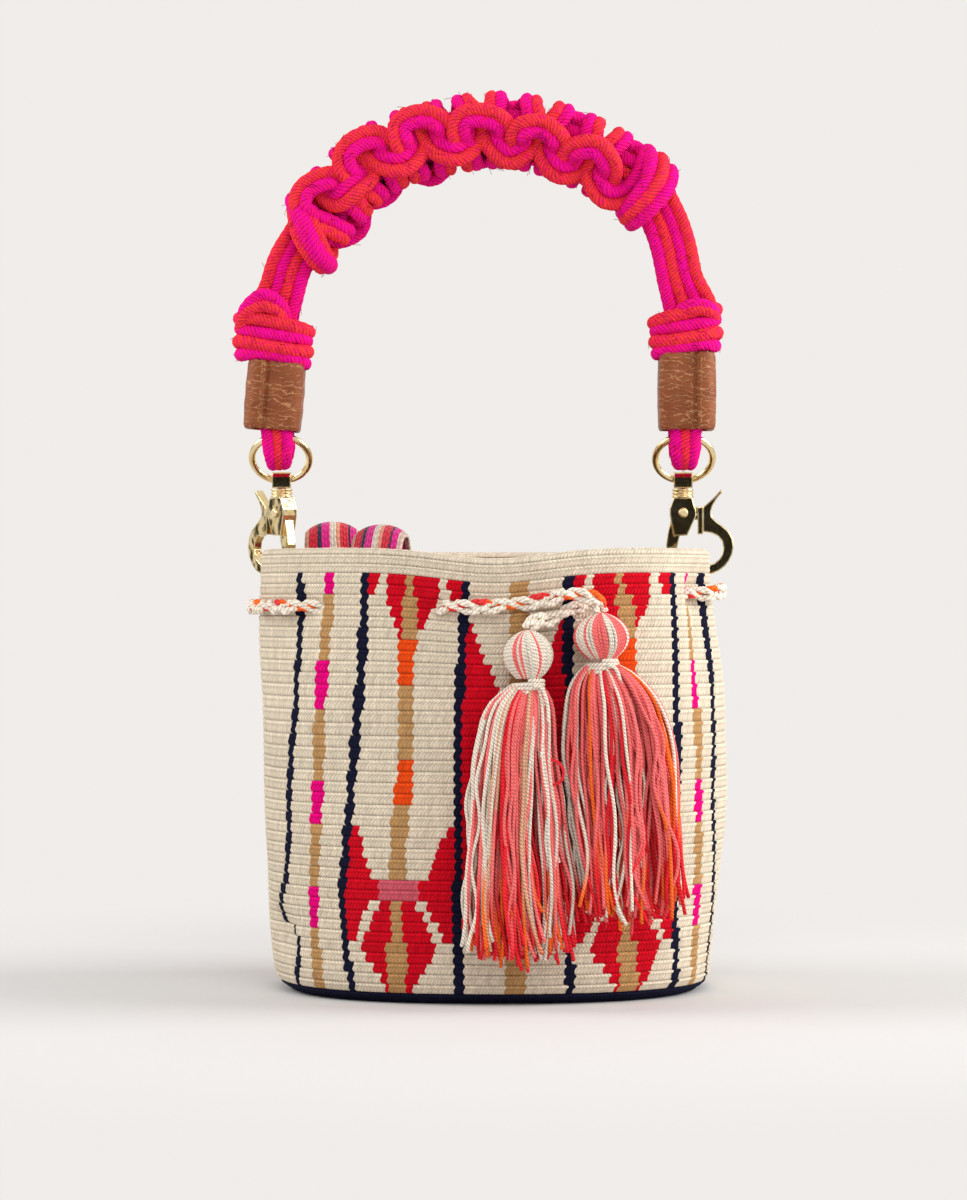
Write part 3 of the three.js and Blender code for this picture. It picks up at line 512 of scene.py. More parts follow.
def crochet_inside(material):
    """The inner face and the floor, with coarser stitches."""
    stitches, rows, corner_steps, rings = STITCHES // 2, 36, 6, 34
    corner = BASE_CORNER_RADIUS - 1
    top = BAG_HEIGHT - RIM_RADIUS
    low = FLOOR_THICKNESS + corner
    front_angle = np.arange(stitches) * 360.0 / stitches
    points, v = [], []

    def add_row(offset, height, relief, row):
        radius = plan_radius(front_angle, height) - WALL_THICKNESS - offset - relief
        radius = radius + 0.6 * (wall_shape(front_angle, height) - eyelet_dimples(front_angle, height))
        points.append(round_bag(front_angle, radius, height - rim_dip(front_angle, height)))
        v.append(-row)

    for k in range(rows):
        for share, level in ((0.0, -0.5), (0.25, 0.1), (0.5, 0.25), (0.75, 0.1)):
            add_row(0, top - (top - low) * (k + share) / rows, level, k + share)
    for i in range(1, corner_steps + 1):
        bend = math.pi / 2 * i / corner_steps
        add_row(corner * (1 - math.cos(bend)), low - corner * math.sin(bend), 0, rows + i / 3)
    edge = plan_radius(front_angle, low) - WALL_THICKNESS - corner
    for i in range(1, rings + 1):
        height = FLOOR_THICKNESS + (0.18 if i % 2 else -0.18)
        points.append(round_bag(front_angle, edge * max(1 - i / rings, 0.01), height))
        v.append(-(rows + 2 + i / 2))
    return crochet_sheet("crochet_inside", points, np.array(v), 2, linear(CREAM), material)


def crochet_base(material):
    """The flat underside, crocheted in rings."""
    stitches, rings = 108, 17
    front_angle = np.arange(stitches) * 360.0 / stitches
    edge = plan_radius(front_angle, 0.0) - BASE_CORNER_RADIUS
    points, v = [], []
    for k in range(rings):
        for share, level in ((0.0, 0.6), (0.3, 0.0), (0.7, 0.0)):
            points.append(round_bag(front_angle, edge * max(1 - (k + share) / rings, 0.004), level + 0.02))
            v.append(k + share)
    return crochet_sheet("crochet_base", points, np.array(v), 3, linear(NAVY), material)


# Curves and strands

def spline(points, per_span=10):
    """Close points on a smooth curve through the given ones. Columns after the third are carried along."""
    points = np.asarray(points, float)
    line = np.vstack([2 * points[0] - points[1], points, 2 * points[-1] - points[-2]])
    before, start, end, after = line[:-3], line[1:-2], line[2:-1], line[3:]
    gaps = [np.linalg.norm((b - a)[:, :3], axis=1) for a, b in ((before, start), (start, end), (end, after))]
    t1, t2, t3 = np.cumsum([np.sqrt(np.maximum(gap, 1e-6)) for gap in gaps], axis=0)[:, :, None, None]
    t = t1 + (t2 - t1) * (np.arange(per_span) / per_span)[None, :, None]
    before, start, end, after = (part[:, None, :] for part in (before, start, end, after))
    a1 = ((t1 - t) * before + t * start) / t1
    a2 = ((t2 - t) * start + (t - t1) * end) / (t2 - t1)
    a3 = ((t3 - t) * end + (t - t2) * after) / (t3 - t2)
    b1 = ((t2 - t) * a1 + t * a2) / t2
    b2 = ((t3 - t) * a2 + (t - t1) * a3) / (t3 - t1)
    curve = ((t2 - t) * b1 + (t - t1) * b2) / (t2 - t1)
    return np.vstack([curve.reshape(-1, points.shape[1]), points[-1]])


def lengths_along(points):
    steps = np.linalg.norm(np.diff(points[:, :3], axis=0), axis=1)
    return np.concatenate([[0], np.cumsum(steps)])


def resampled(points, spacing):
    """The same line with evenly spaced points."""
    along = lengths_along(points)
    wanted = np.linspace(0, along[-1], max(3, int(round(along[-1] / spacing)) + 1))
    return np.stack([np.interp(wanted, along, column) for column in points.T], -1)


def unit(vectors):
    return vectors / np.maximum(np.linalg.norm(vectors, axis=-1, keepdims=True), 1e-9)


def frames(points):
    """Tangent and two normals at each point of a line, without twist."""
    tangents = unit(np.gradient(points, axis=0))
    first = np.cross(tangents[0], (0, 1, 0) if abs(tangents[0][1]) < 0.9 else (1, 0, 0))
    normals = [first / np.linalg.norm(first)]
    for tangent in tangents[1:]:
        turned = normals[-1] - tangent * normals[-1].dot(tangent)
        normals.append(turned / np.linalg.norm(turned))
    normals = np.array(normals)
    return tangents, normals, np.cross(tangents, normals)


class Strands:
    """Tubes gathered into one piece, with their place round and along each one and their yarn's colour."""

    def __init__(self):
        self.points, self.quads, self.uv, self.colours, self.tubes = [], [], [], [], []
        self.count = 0

    def add(self, line, radius, colour, sides=8, lobes=0, lobe_depth=0.0, lay=10.0, start=0.0):
        """A tube along a line. The radius may change along it, and lobes turn once in each lay."""
        line = np.asarray(line, float)
        tangents, normal, binormal = frames(line)
        along = lengths_along(line) + start
        radius = np.broadcast_to(radius, len(line)).astype(float)
        first = line[:1] - tangents[:1] * radius[0] * 0.25
        last = line[-1:] + tangents[-1:] * radius[-1] * 0.25
        line = np.vstack([first, line, last])
        pick = np.concatenate([[0], np.arange(len(along)), [len(along) - 1]])
        colour = np.broadcast_to(colour, (len(along), 3))[pick]
        radius, along, normal, binormal = radius[pick], along[pick], normal[pick], binormal[pick]
        radius[[0, -1]] *= 0.03
        share = np.arange(sides) / sides
        turn = 2 * np.pi * (share + (along / lay if lobes else 0 * along)[:, None])
        reach = radius[:, None] + lobe_depth * (np.cos(lobes * 2 * np.pi * share) - 1)
        ring = np.cos(turn)[..., None] * normal[:, None] + np.sin(turn)[..., None] * binormal[:, None]
        points = line[:, None] + ring * reach[..., None]
        rows, columns = grid_corners(len(line), sides)
        self.points.append(points.reshape(-1, 3))
        self.tubes.append(points)
        self.quads.append(grid_faces(len(line), sides)[:, ::-1] + self.count)
        self.uv.append(np.stack([columns / sides, along[rows]], -1)[:, ::-1].reshape(-1, 2))
        self.colours.append(np.repeat(colour, sides, axis=0))
        self.count += len(line) * sides

    def piece(self, name, material):
        made = new_object(name, np.vstack(self.points), np.vstack(self.quads), material)
        set_uv(made, "strand", np.vstack(self.uv))
        set_yarns(made, np.vstack(self.colours), "POINT")
        return made


def add_fibres(strands, seed, count, colour):
    """Loose fibres that lie over the surface of the cords."""
    random = np.random.default_rng(seed)
    tubes = list(strands.tubes)
    weights = np.array([len(tube) - 4.0 for tube in tubes])
    steps = np.linspace(0, 1, 4)[:, None]
    for pick in random.choice(len(tubes), count, p=weights / weights.sum()):
        tube = tubes[pick]
        row, side = random.integers(2, len(tube) - 2), random.integers(tube.shape[1])
        middle, ahead = tube[row].mean(axis=0), tube[row + 1].mean(axis=0)
        out = unit(tube[row, side] - middle)
        along = unit(ahead - middle) * random.choice((-1, 1))
        across = np.cross(out, along) * random.normal(0, 0.5)
        length = random.uniform(1.5, 4.0)
        rise = out * random.uniform(0.0, 0.1) * (steps - 0.6 * steps ** 2)
        line = tube[row, side] - out * 0.1 + length * ((along + across) * steps + rise)
        strands.add(line, 0.1, linear(colour) * random.uniform(0.95, 1.35), sides=3)


def strand_material(name, plies, ply_length, depth, dark, fuzz_scale, blend=None):
    """Twisted yarn: slanted plies with painted shade between them, fine fibres, and streaks of a second tone.
    """
    nodes = Nodes(name)
    u, v = nodes.uv("strand")
    wander = nodes.noise(fuzz_scale / 4, 2.0)
    turns = nodes.math("MULTIPLY_ADD", v, 1 / ply_length, nodes.math("MULTIPLY", u, plies))
    ply = nodes.math("POWER", wave(nodes, nodes.math("MULTIPLY_ADD", wander, 0.5, turns)), 0.5)
    # Painted shade in the grooves between the plies and a little painted highlight on their crowns; dark sets
    # its depth.
    shade = nodes.math("MULTIPLY_ADD", ply, dark, 1.14 - dark)
    mottle = nodes.math("MULTIPLY", nodes.grain(fuzz_scale, 0.16), nodes.grain(fuzz_scale / 5, 0.08))
    colour = nodes.attribute("yarn")
    if blend:
        streak = nodes.ramp(nodes.noise(fuzz_scale / 3, 3.0, roughness=0.65), [(0.48, 0), (0.6, 1)])
        colour = nodes.mix(nodes.math("MULTIPLY", streak, 0.75), colour, linear(blend))
    factor = nodes.math("MULTIPLY", shade, mottle)
    nodes.set(Base_Color=nodes.tint(colour, factor), Roughness=0.92, Specular_IOR_Level=0.08)
    fuzz = nodes.noise(fuzz_scale, 3.0)
    nodes.bump(nodes.math("ADD", nodes.math("MULTIPLY", fuzz, 0.9), ply), depth)
    return nodes.owner


# Drawstring

WALL_GAP = 0.3
DRAWSTRING_DIAMETER = 6.0
EYELET_HALF_PASS = 5.5
DRAWSTRING_STEP = 9.0
PLAIT_PERIOD = 21.0
LEFT_TASSEL_TOP = np.array([12.0, -83.8, 134.0])
RIGHT_TASSEL_TOP = np.array([38.0, -80.2, 140.0])


def beside_wall(front_angle, height, offset):
    """A point at a distance from the bag's outer face."""
    angle = math.radians(front_angle - 90)
    radius = float(plan_radius(front_angle, height)) + offset
    return (radius * math.cos(angle), radius * math.sin(angle), height)


def drawstring_route():
    """Points from the left tassel, in and out of the wall all the way round, to the right tassel."""
    outside = DRAWSTRING_DIAMETER / 2 + 2 * WALL_GAP
    inside = -(WALL_THICKNESS + outside)
    route = [LEFT_TASSEL_TOP + shift for shift in ((0, 0, WALL_GAP), (0.6, 0.3, 1.8), (3.4, 1.6, 3.2))]

    def along(front_angle, offset, lift=0.0):
        route.append(beside_wall(front_angle, float(drawstring_level(front_angle)) + lift, offset))

    along(15, outside + 0.6, -4.6)
    along(19, outside, -2.2)
    along(22, outside - 2.4, -0.6)
    for i, angle in enumerate(EYELETS):
        first, second = (outside, inside) if i % 2 == 0 else (inside, outside)
        half = EYELET_HALF_PASS
        if i > 0:
            along(angle - half, first)
            along(angle - half * 0.45, first * 0.72 + second * 0.28)
        along(angle, (first + second) / 2)
        last = i == len(EYELETS) - 1
        along(angle + half * 0.45, first * 0.28 + second * 0.72)
        along(angle + half, second)
        span = (360 if last else EYELETS[i + 1]) - angle - 2 * half
        count = 0 if last else max(1, round(span / DRAWSTRING_STEP)) - 1
        for k in range(1, count + 1):
            along(angle + half + span * k / (count + 1), second)
    crossing = DRAWSTRING_DIAMETER + 1.2
    along(359, outside, 0.2)
    along(366, outside, 0.8)
    along(372, outside + crossing * 0.3, 2)
    along(378, outside + crossing * 0.85, 3.6)
    for shift in ((-8, -1.2, 6.2), (-2.6, -0.6, 5), (-0.3, -0.1, 2.4), (0, 0, WALL_GAP)):
        route.append(RIGHT_TASSEL_TOP + shift)
    return np.array(route)


# Yarns of the drawstring and the tassels
YARN_CREAM = "F0E4D3"
YARN_CORAL = "FF7A78"
YARN_RED = "F02C36"
YARN_ORANGE = "FF6E2C"
YARN_TAN = "DCA888"
PLAIT_RED = "E23A3C"


def drawstring(material):
    """A flat plait of three strands, two cream and one of mixed reds."""
    line = resampled(spline(drawstring_route(), 12), 0.75)
    tangents = frames(line)[0]
    up = unit(np.array([0, 0, 1.0]) - tangents * tangents[:, 2:])
    upright = np.abs(tangents[:, 2:]) > 0.9
    up = np.where(upright, unit(np.cross(tangents, (0, 1, 0))), up)
    across = np.cross(tangents, up)
    along = lengths_along(line)
    plait = Strands()
    cream, red, orange = (linear(colour) for colour in (YARN_CREAM, PLAIT_RED, YARN_ORANGE))
    for strand in range(3):
        phase = 2 * np.pi * (along / PLAIT_PERIOD + strand / 3)
        if strand == 0:
            rise, depth = 0.5 + 1.0 * np.sin(phase), 0.5 + 0.8 * np.cos(2 * phase)
            share = 0.5 + 0.5 * np.sin(along / 4.5 + 1)
            colour = red + (orange - red) * smooth(share, 0.35, 0.65)[:, None]
            colour = colour + (cream - colour) * (1 - smooth(along, 18, 26))[:, None]
        else:
            rise, depth = 1.65 * np.sin(phase) - 0.2, 1.0 * np.sin(2 * phase)
            colour = cream
        centre = line + up * rise[:, None] - across * depth[:, None]
        for half_turn in (0, np.pi):
            turn = (2 * np.pi * along / 7.0 + half_turn)[:, None]
            plait.add(centre + 0.5 * (up * np.cos(turn) + across * np.sin(turn)), 0.88, colour)
    return plait.piece("drawstring_plait", material), line


# Tassels, as (top, height and radius of the head, lowest end of the yarns, seed, rows of the skirt's
# (height, left edge, right edge))
TASSELS = {
    "left": (LEFT_TASSEL_TOP, 18.5, 8.9, 20.5, 3, (
        (114.5, 5.6, 17.2), (112, 2.0, 19.4), (108, -2.6, 21.4), (102, -5.8, 22.4), (91, -8.6, 23),
        (76, -11, 25.5), (61, -12.8, 27.4), (46, -14, 29.6), (14, -14.4, 30.5),
    )),
    "right": (RIGHT_TASSEL_TOP, 17.5, 10.0, 34.0, 5, (
        (121.5, 32, 44), (119, 28.8, 49), (114, 25.2, 55), (108, 23.6, 59.4), (99, 22.6, 62.8),
        (84, 22.1, 65.3), (61, 23, 67.2), (26, 26, 66),
    )),
}
SKIRT_YARNS = 200
SKIRT_HALF_DEPTH = 9.5
NECK_HALF_DEPTH = 4.6
LOCKS = 17
HEAD_YARNS = 54

# Yarns in bands across each skirt, as (right edge of the band, choices), a choice being (limit, yarn)
EDGE_CHOICES = ((0.55, YARN_CREAM), (1, YARN_CORAL))
LEFT_CHOICES = ((0.32, YARN_CREAM), (1, YARN_CORAL))
BANDS = {
    "left": (
        (-0.5, EDGE_CHOICES),
        (0.2, ((0.66, YARN_CORAL), (0.78, YARN_RED), (0.82, YARN_TAN), (1, YARN_CREAM))),
        (0.21, LEFT_CHOICES), (0.29, ((1, YARN_TAN),)), (0.5, LEFT_CHOICES),
        (2, EDGE_CHOICES),
    ),
    "right": (
        (-0.8, ((0.7, YARN_CREAM), (1, YARN_CORAL))),
        (-0.2, ((0.86, YARN_CORAL), (0.94, YARN_ORANGE), (1, YARN_CREAM))),
        (0.22, ((0.3, YARN_CREAM), (0.55, YARN_RED), (1, YARN_CORAL))),
        (0.8, ((0.86, YARN_CORAL), (0.94, YARN_ORANGE), (1, YARN_CREAM))),
        (2, ((0.5, YARN_ORANGE), (0.75, YARN_CREAM), (1, YARN_CORAL))),
    ),
}
# Reach of the deep yarns across each skirt, share of cream yarns with cream tips, share of red tips
SKIRT_SHARES = {"left": (0.8, 0.5, 0.6), "right": (0.85, 0.6, 0.55)}
# Each head's plain yarn, the yarn of its stripes, the share of plain yarns and the stripes' angles
HEADS = {
    "left": (YARN_CREAM, YARN_CORAL, 0.97, ((-42, -30), (-24, -14))),
    "right": (YARN_CORAL, YARN_CREAM, 0.85, ((-71, -61), (-55, -45), (-39, -21), (9, 27))),
}


def tassel_skirt(side):
    """Hanging yarns, in loose locks."""
    top, head_height, _, bottom, seed, widths = TASSELS[side]
    random = np.random.default_rng(seed)
    heights, lefts, rights = resampled(spline(widths), 1.0)[::-1].T
    neck = top[2] - head_height - 1.0
    locks = [(random.uniform(0, 2 * np.pi), random.uniform(0.3, 1.0)) for _ in range(LOCKS)]
    lock_places = np.array([(reach * math.cos(turn), reach * math.sin(turn)) for turn, reach in locks])
    lock_sway = random.normal(0, 1, (LOCKS, 3))
    share = np.linspace(0, 1, 30)
    pull = 0.42 * smooth(share, 0.25, 0.9)
    fall = smooth(share, 0, 0.14)
    skirt = Strands()
    for _ in range(SKIRT_YARNS):
        turn = random.uniform(0, 2 * np.pi)
        reach = random.uniform(0.08, 1) ** 0.4
        place = np.array([reach * math.cos(turn), reach * math.sin(turn)])
        lock = int(np.argmin(np.linalg.norm(lock_places - place, axis=1)))
        end = bottom + random.normal(0, 3.0) + 5 * place[0] ** 2
        if random.random() < 0.09:
            end += random.uniform(6, 30)
        z = neck + (end - neck) * share
        across, deep = (place + (lock_places[lock] * 0.95 - place) * pull[:, None]).T
        left, right = np.interp(z, heights, lefts), np.interp(z, heights, rights)
        swing, pace, phase = lock_sway[lock]
        sway = swing * 1.5 * np.sin(share * (3.2 + pace) + phase) * share
        own = random.normal(0, 0.85) * np.sin(share * random.uniform(7, 20) + random.uniform(0, 6))
        own = own * smooth(share, 0, 0.5)
        stray = random.normal(0, 2.2) * share ** 6
        x = (left + right) / 2 + across * ((right - left) / 2 - 0.6) + sway + own + stray
        y = top[1] - 1.2 * fall + deep * (NECK_HALF_DEPTH + (SKIRT_HALF_DEPTH - NECK_HALF_DEPTH) * fall)
        y = y + 1.1 * random.normal() * np.sin(share * random.uniform(3, 8)) * share
        line = np.stack([x, np.minimum(y, top[1] + 6.2), z], -1)
        colour = skirt_colour(side, *place, share, random)
        skirt.add(line, 0.62 * random.uniform(0.88, 1.14), colour, sides=6, start=random.uniform(0, 9))
    return skirt


def yarn_mix(random, share, base, tip):
    """A yarn that turns redder towards its end."""
    base, tip = linear(base), linear(tip)
    start = random.uniform(0.5, 1.0)
    change = smooth(share, start, start + 0.22)[:, None]
    return (base + (tip - base) * change) * random.uniform(0.88, 1.08)


def skirt_colour(side, across, deep, share, random):
    """Colours along a yarn, by its place: across and deep run from -1 to 1, from front to back."""
    deep_reach, cream_tips, red_tips = SKIRT_SHARES[side]
    pick = random.random()
    if deep > -0.3 and abs(across) < deep_reach:
        return yarn_mix(random, share, YARN_CORAL if pick < 0.5 else YARN_RED, YARN_RED)
    choices = next(choices for edge, choices in BANDS[side] if across < edge)
    base = next(yarn for limit, yarn in choices if pick < limit)
    if base == YARN_CREAM and pick < cream_tips:
        return yarn_mix(random, share, base, base)
    return yarn_mix(random, share, base, YARN_RED if random.random() < red_tips else YARN_ORANGE)


def head_colour(side, turn, random):
    plain, striped, plain_share, stripes = HEADS[side]
    turn = (turn + 180) % 360 - 180
    if any(first < turn < last for first, last in stripes):
        return striped
    return plain if random.random() < plain_share else striped


def tassel_head(strands, side):
    """Yarns folded over the top of the tassel, down to its neck, round a core."""
    top, height, radius, _, seed, _ = TASSELS[side]
    random = np.random.default_rng(seed + 10)
    polar = np.linspace(0.06, 2.62, 20)
    z = top[2] - 0.6 - (height / 2 - 0.3) * (1 - np.cos(polar))
    outline = radius * np.sin(polar + 0.16 * np.sin(polar) * (polar - 1.2)) ** 0.95 - 0.55
    for i in range(HEAD_YARNS):
        turn = 2 * math.pi * (i + random.uniform(-0.2, 0.2)) / HEAD_YARNS
        lean = turn + 0.16 * (polar - 1.3)
        out = outline + random.uniform(-0.2, 0.2)
        out = np.where(polar > 2.3, np.maximum(out, 4.2), out)
        line = np.stack([top[0] + out * np.sin(lean), top[1] - out * np.cos(lean), z], -1)
        colour = linear(head_colour(side, math.degrees(turn), random)) * random.uniform(0.86, 1.04)
        strands.add(line, 0.56, colour, start=random.uniform(0, 9))
    rings = np.linspace(0, math.pi, 9)
    core = np.array([top - (0, 0, 1 + (height - 2) * (1 - math.cos(ring)) / 2) for ring in rings])
    # The core is coral darkened to 0.7, painted shade where it shows between the head's yarns.
    strands.add(core, np.maximum(radius * np.sin(rings) - 0.7, 0.3), linear(YARN_CORAL) * 0.7, sides=16)


def tassel_tie(side, material):
    """Yarn wound round the neck, with one end hanging."""
    top, head_height = TASSELS[side][:2]
    middle = np.array([top[0], top[1], top[2] - head_height - 2])
    turns = 3
    share = np.linspace(0, 1, turns * 26)
    angle = 2 * np.pi * turns * share
    climb = 2.2 - 4.0 * share + 0.5 * np.sin(angle + 0.6)
    winding = np.stack([5.4 * np.sin(angle), -5.3 * np.cos(angle), climb], -1)
    end = np.array([(2.0, -5.9, 0.6), (4.2, -5.6, 0.2), (5.6, -6, -2), (6.8, -6.8, -6.5), (7, -8.2, -12)])
    tie = Strands()
    tie.add(middle + winding, 0.72, linear(YARN_CREAM))
    tie.add(resampled(spline(middle + end), 0.8), 0.66, linear(YARN_CREAM))
    return tie.piece(f"{side}_tassel_winding", material)


def stray_loop(strands):
    """One curled red yarn that stands out of the left tassel."""
    curl = (
        (20, -93.6, 88.6), (22.6, -95.2, 87.4), (24.2, -95.8, 84.4), (23.4, -95.4, 81.2), (20.6, -93.8, 79.6),
    )
    strands.add(resampled(spline(curl), 0.6), 0.5, linear(YARN_RED), sides=6)


# Strap

STRAP_WIDTH = 22.0
STRAP_THICKNESS = 2.6
STRAP_INSET = 41.5
STRAP_FOOT_INSET = 35.5
STRAP_FOLD_RISE = 9.6


def strap_stations():
    """Rows of (x, y, z, turn of its width) along the folded strap."""
    floor = FLOOR_THICKNESS + STRAP_THICKNESS / 2 + WALL_GAP
    second = floor + STRAP_THICKNESS + 2 * WALL_GAP
    rim = BAG_HEIGHT
    top = BAG_HEIGHT + STRAP_FOLD_RISE
    route = np.array([
        (1, -34, floor, 0), (0, -16, floor, 0), (-2, 4, floor, 0), (-4, 20, floor + 2.5, 0),
        (-7, 30, floor + 13, 0), (-11, 31, rim * 0.37, 0), (-14, 27.4, rim * 0.74, 0),
        (-15, 24.6, rim - 5, 4), (-15.6, 22, rim + 4, 5), (-15.8, 17.5, top, 6),
        (-15.8, 12.5, top - 0.6, 7), (-15.6, 8.6, rim + 3, 8), (-14.4, 7, rim - 7, 8),
        (-11, 9, rim * 0.61, 4), (-5, 14, rim * 0.25, 0), (-2.5, 15, floor + 18, 0),
        (-1.5, 11, floor + 10.5, 0), (-1, 5, floor + 12, -4), (0, 2.4, floor + 22, -8),
        (3, -1, rim * 0.55, -16), (4.5, -1.5, rim - 5, -24), (4.4, -3.6, rim + 3.4, -26),
        (3.6, -8.2, top - 1.6, -28), (2.4, -13.4, top - 2.2, -28), (1.4, -17, rim + 2, -28),
        (0.2, -18, rim - 8, -26), (0, -18, rim * 0.61, -14), (0, -17.5, rim * 0.25, -4),
        (0, -19.5, second + 8, 0), (0, -24.5, second + 1.6, 0), (0.5, -31, second, 0),
        (1, -38, second, 0),
    ])
    up = np.minimum(1, route[:, 2] / BULGE_HEIGHT)
    foot, head = STRAP_FOOT_INSET - BASE_HALF_WIDTH, STRAP_INSET - WALL_HALF_WIDTH
    route[:, 0] += foot + (head - foot) * up
    return route


# Lengthwise stripes of the strap, as (where one ends across the width, colour)
STRAP_STRIPES = (
    (0.07, "D8A088"), (0.22, "E0243C"), (0.3, "3A3450"), (0.43, "F02894"), (0.54, "F0E4D0"), (0.63, "F8A88C"),
    (0.76, "E83448"), (0.83, "3A3450"), (0.93, "F02894"), (1.01, "E8C8B8"),
)


def strap(material):
    """The folded strap, and its length."""
    stations = resampled(spline(strap_stations(), 14), 1.3)
    line = stations[:, :3]
    turn = np.radians(stations[:, 3])
    side = np.stack([np.cos(turn), np.sin(turn), 0 * turn], -1)
    tangents = unit(np.gradient(line, axis=0))
    side = unit(side - tangents * np.sum(side * tangents, axis=1, keepdims=True))
    normal = np.cross(tangents, side)
    share = np.linspace(-0.5, 0.5, 28)
    edge = np.abs(share * 2)
    bulge = smooth(line[:, 2], BAG_HEIGHT - 6, BAG_HEIGHT + STRAP_FOLD_RISE)[:, None]
    ribs = 0.16 * np.cos(np.arange(len(line)) * np.pi)[:, None]
    across = share * (STRAP_WIDTH - 1.0 * bulge)
    rise = normal[:, None] * (0.5 * (STRAP_THICKNESS - 0.5) * (1 - 0.5 * edge ** 8) + ribs)[..., None]
    middle = line[:, None] + side[:, None] * across[..., None]
    middle[..., 2] -= 7.5 * bulge * edge ** 2.2 / 2
    loop = np.concatenate([middle + rise, (middle - rise)[:, ::-1]], axis=1)
    rows, around = loop.shape[:2]
    made = new_object("strap_weave", loop.reshape(-1, 3), grid_faces(rows, around)[:, ::-1], material)
    corner_rows, corner_columns = grid_corners(rows, around)
    corner_u = (np.concatenate([share, share[::-1]]) + 0.5)[corner_columns % around]
    along = lengths_along(line)
    set_uv(made, "weave", np.stack([corner_u, along[corner_rows]], -1)[:, ::-1].reshape(-1, 2))
    limits, colours = zip(*STRAP_STRIPES)
    yarns = np.array([linear(colour) for colour in colours])[np.searchsorted(limits, corner_u.mean(axis=1))]
    set_yarns(made, np.repeat(yarns, 4, axis=0), "CORNER")
    return made, float(along[-1])


def strap_material():
    """Lengthwise ribs, crossed by slanted weft, with painted shade in the hollows between them."""
    nodes = Nodes("strap_weave")
    u, v = nodes.uv("weave")
    warp = wave(nodes, nodes.math("MULTIPLY", u, 18))
    from_rib = nodes.math("SUBTRACT", nodes.math("FRACT", nodes.math("MULTIPLY", u, 9)), 0.5)
    slant = nodes.math("MULTIPLY", nodes.math("ABSOLUTE", from_rib), 1.1)
    weft = wave(nodes, nodes.math("MULTIPLY_ADD", v, 1 / 2.6, slant))
    fuzz = nodes.noise(2200, 3.0)
    # Painted shade in the hollows between ribs and weft, lighter where they cross on top.
    shade = nodes.math("MULTIPLY_ADD", nodes.math("MULTIPLY", warp, weft), 0.35, 0.72)
    grain = nodes.math("MULTIPLY_ADD", fuzz, 0.36, 0.82)
    colour = nodes.tint(nodes.attribute("yarn"), nodes.math("MULTIPLY", shade, grain))
    nodes.set(Base_Color=colour, Roughness=0.92, Sheen_Weight=0.25, Specular_IOR_Level=0.15)
    nodes.bump(nodes.math("MULTIPLY_ADD", fuzz, 0.4, nodes.math("ADD", warp, weft)), 0.3)
    return nodes.owner


# Handle

POSTS = {"right": 71.0, "left": -79.4}
RIVET_HEIGHT = 177.0
EYE_CENTRE = 12.2
RING_RADIUS = 10.7
RING_WIRE = 2.6
RING_LEAN = math.radians(42)
RING_TOP_HEIGHT = RIVET_HEIGHT + EYE_CENTRE + 2 * RING_RADIUS * math.cos(RING_LEAN)
RING_TOP_DEPTH = 2 * RING_RADIUS * math.sin(RING_LEAN)
HANDLE_PLANE = 1 - RING_TOP_DEPTH
CORD_DIAMETER = 4.7
CORD_PITCH = 5.0
STRAND_SPREAD = 5.5
BIGHT_DROP = 7.4
HALF_KNOTS = 14
HALF_KNOT_PITCH = 10.9
KNOTS_START = 100.0
SLEEVE_BOTTOM = RING_TOP_HEIGHT + 2.3
SLEEVE_HEIGHTS = {"right": 28.6, "left": 25.1}
HANDLE_LINE = (
    (1, -10.1), (1, 9.9), (1.002, 40.9), (0.9894, 56.9), (0.9634, 74.9), (0.9262, 86.9), (0.8896, 93.4),
    (0.8032, 101.6), (0.6922, 109.4), (0.5559, 113.8), (0.3956, 110.9), (0.26, 104.2), (0.1609, 92.3),
    (0.0944, 78.2), (0.0499, 70.7), (0.0199, 62.2), (0, 48.9), (-0.008, 35.9), (-0.008, 10.9), (0, -10.1),
)

# Yarns of the handle's cords
CORD_PINK = "EC0A8C"
CORD_RED = "EE363E"
CORD_STREAKS = "E8185C"
CORD_NAMES = {CORD_PINK: "pink", CORD_RED: "red"}


def handle_centre_line():
    share, rise = np.array(HANDLE_LINE).T
    across = POSTS["left"] + (POSTS["right"] - POSTS["left"]) * share
    points = np.stack([across, np.full(len(share), HANDLE_PLANE), RING_TOP_HEIGHT + rise], -1)
    return resampled(spline(points, 60), 0.25)


HANDLE = handle_centre_line()
HANDLE_ALONG = lengths_along(HANDLE)
HANDLE_LENGTH = HANDLE_ALONG[-1]
HANDLE_TANGENT = unit(np.gradient(HANDLE, axis=0))


def bundle_point(length, outward, depth):
    """Points beside the handle's centre line; outward lies away from the hand."""
    length = np.asarray(length, float)
    point = np.stack([np.interp(length, HANDLE_ALONG, HANDLE[:, k]) for k in range(3)], -1)
    tangent = np.stack([np.interp(length, HANDLE_ALONG, HANDLE_TANGENT[:, k]) for k in range(3)], -1)
    out = np.stack([tangent[..., 2], np.zeros(length.shape), -tangent[..., 0]], -1)
    point = point + out * np.asarray(outward)[..., None]
    point[..., 1] += depth
    return point


def length_at_height(height, side):
    """Length along the handle at which its lower part, on one side, is at a height."""
    half = len(HANDLE) // 4
    order = 1 if side == "right" else -1
    return float(np.interp(height, HANDLE[::order][:half, 2], HANDLE_ALONG[::order][:half]))


WRAP_HEIGHT = 22
WRAP_TOPS = {
    side: length_at_height(SLEEVE_BOTTOM + height + WRAP_HEIGHT, side)
    for side, height in SLEEVE_HEIGHTS.items()
}
KNOTS_END = KNOTS_START + HALF_KNOTS * HALF_KNOT_PITCH


def strand_half_gap(length):
    """Half the distance between the front and the back run of a core cord."""
    from_end = np.minimum(length, HANDLE_LENGTH - length)
    spread_end = length_at_height(SLEEVE_BOTTOM, "right")
    return STRAND_SPREAD + (CORD_PITCH / 2 - STRAND_SPREAD) * smooth(from_end, spread_end, spread_end + 18)


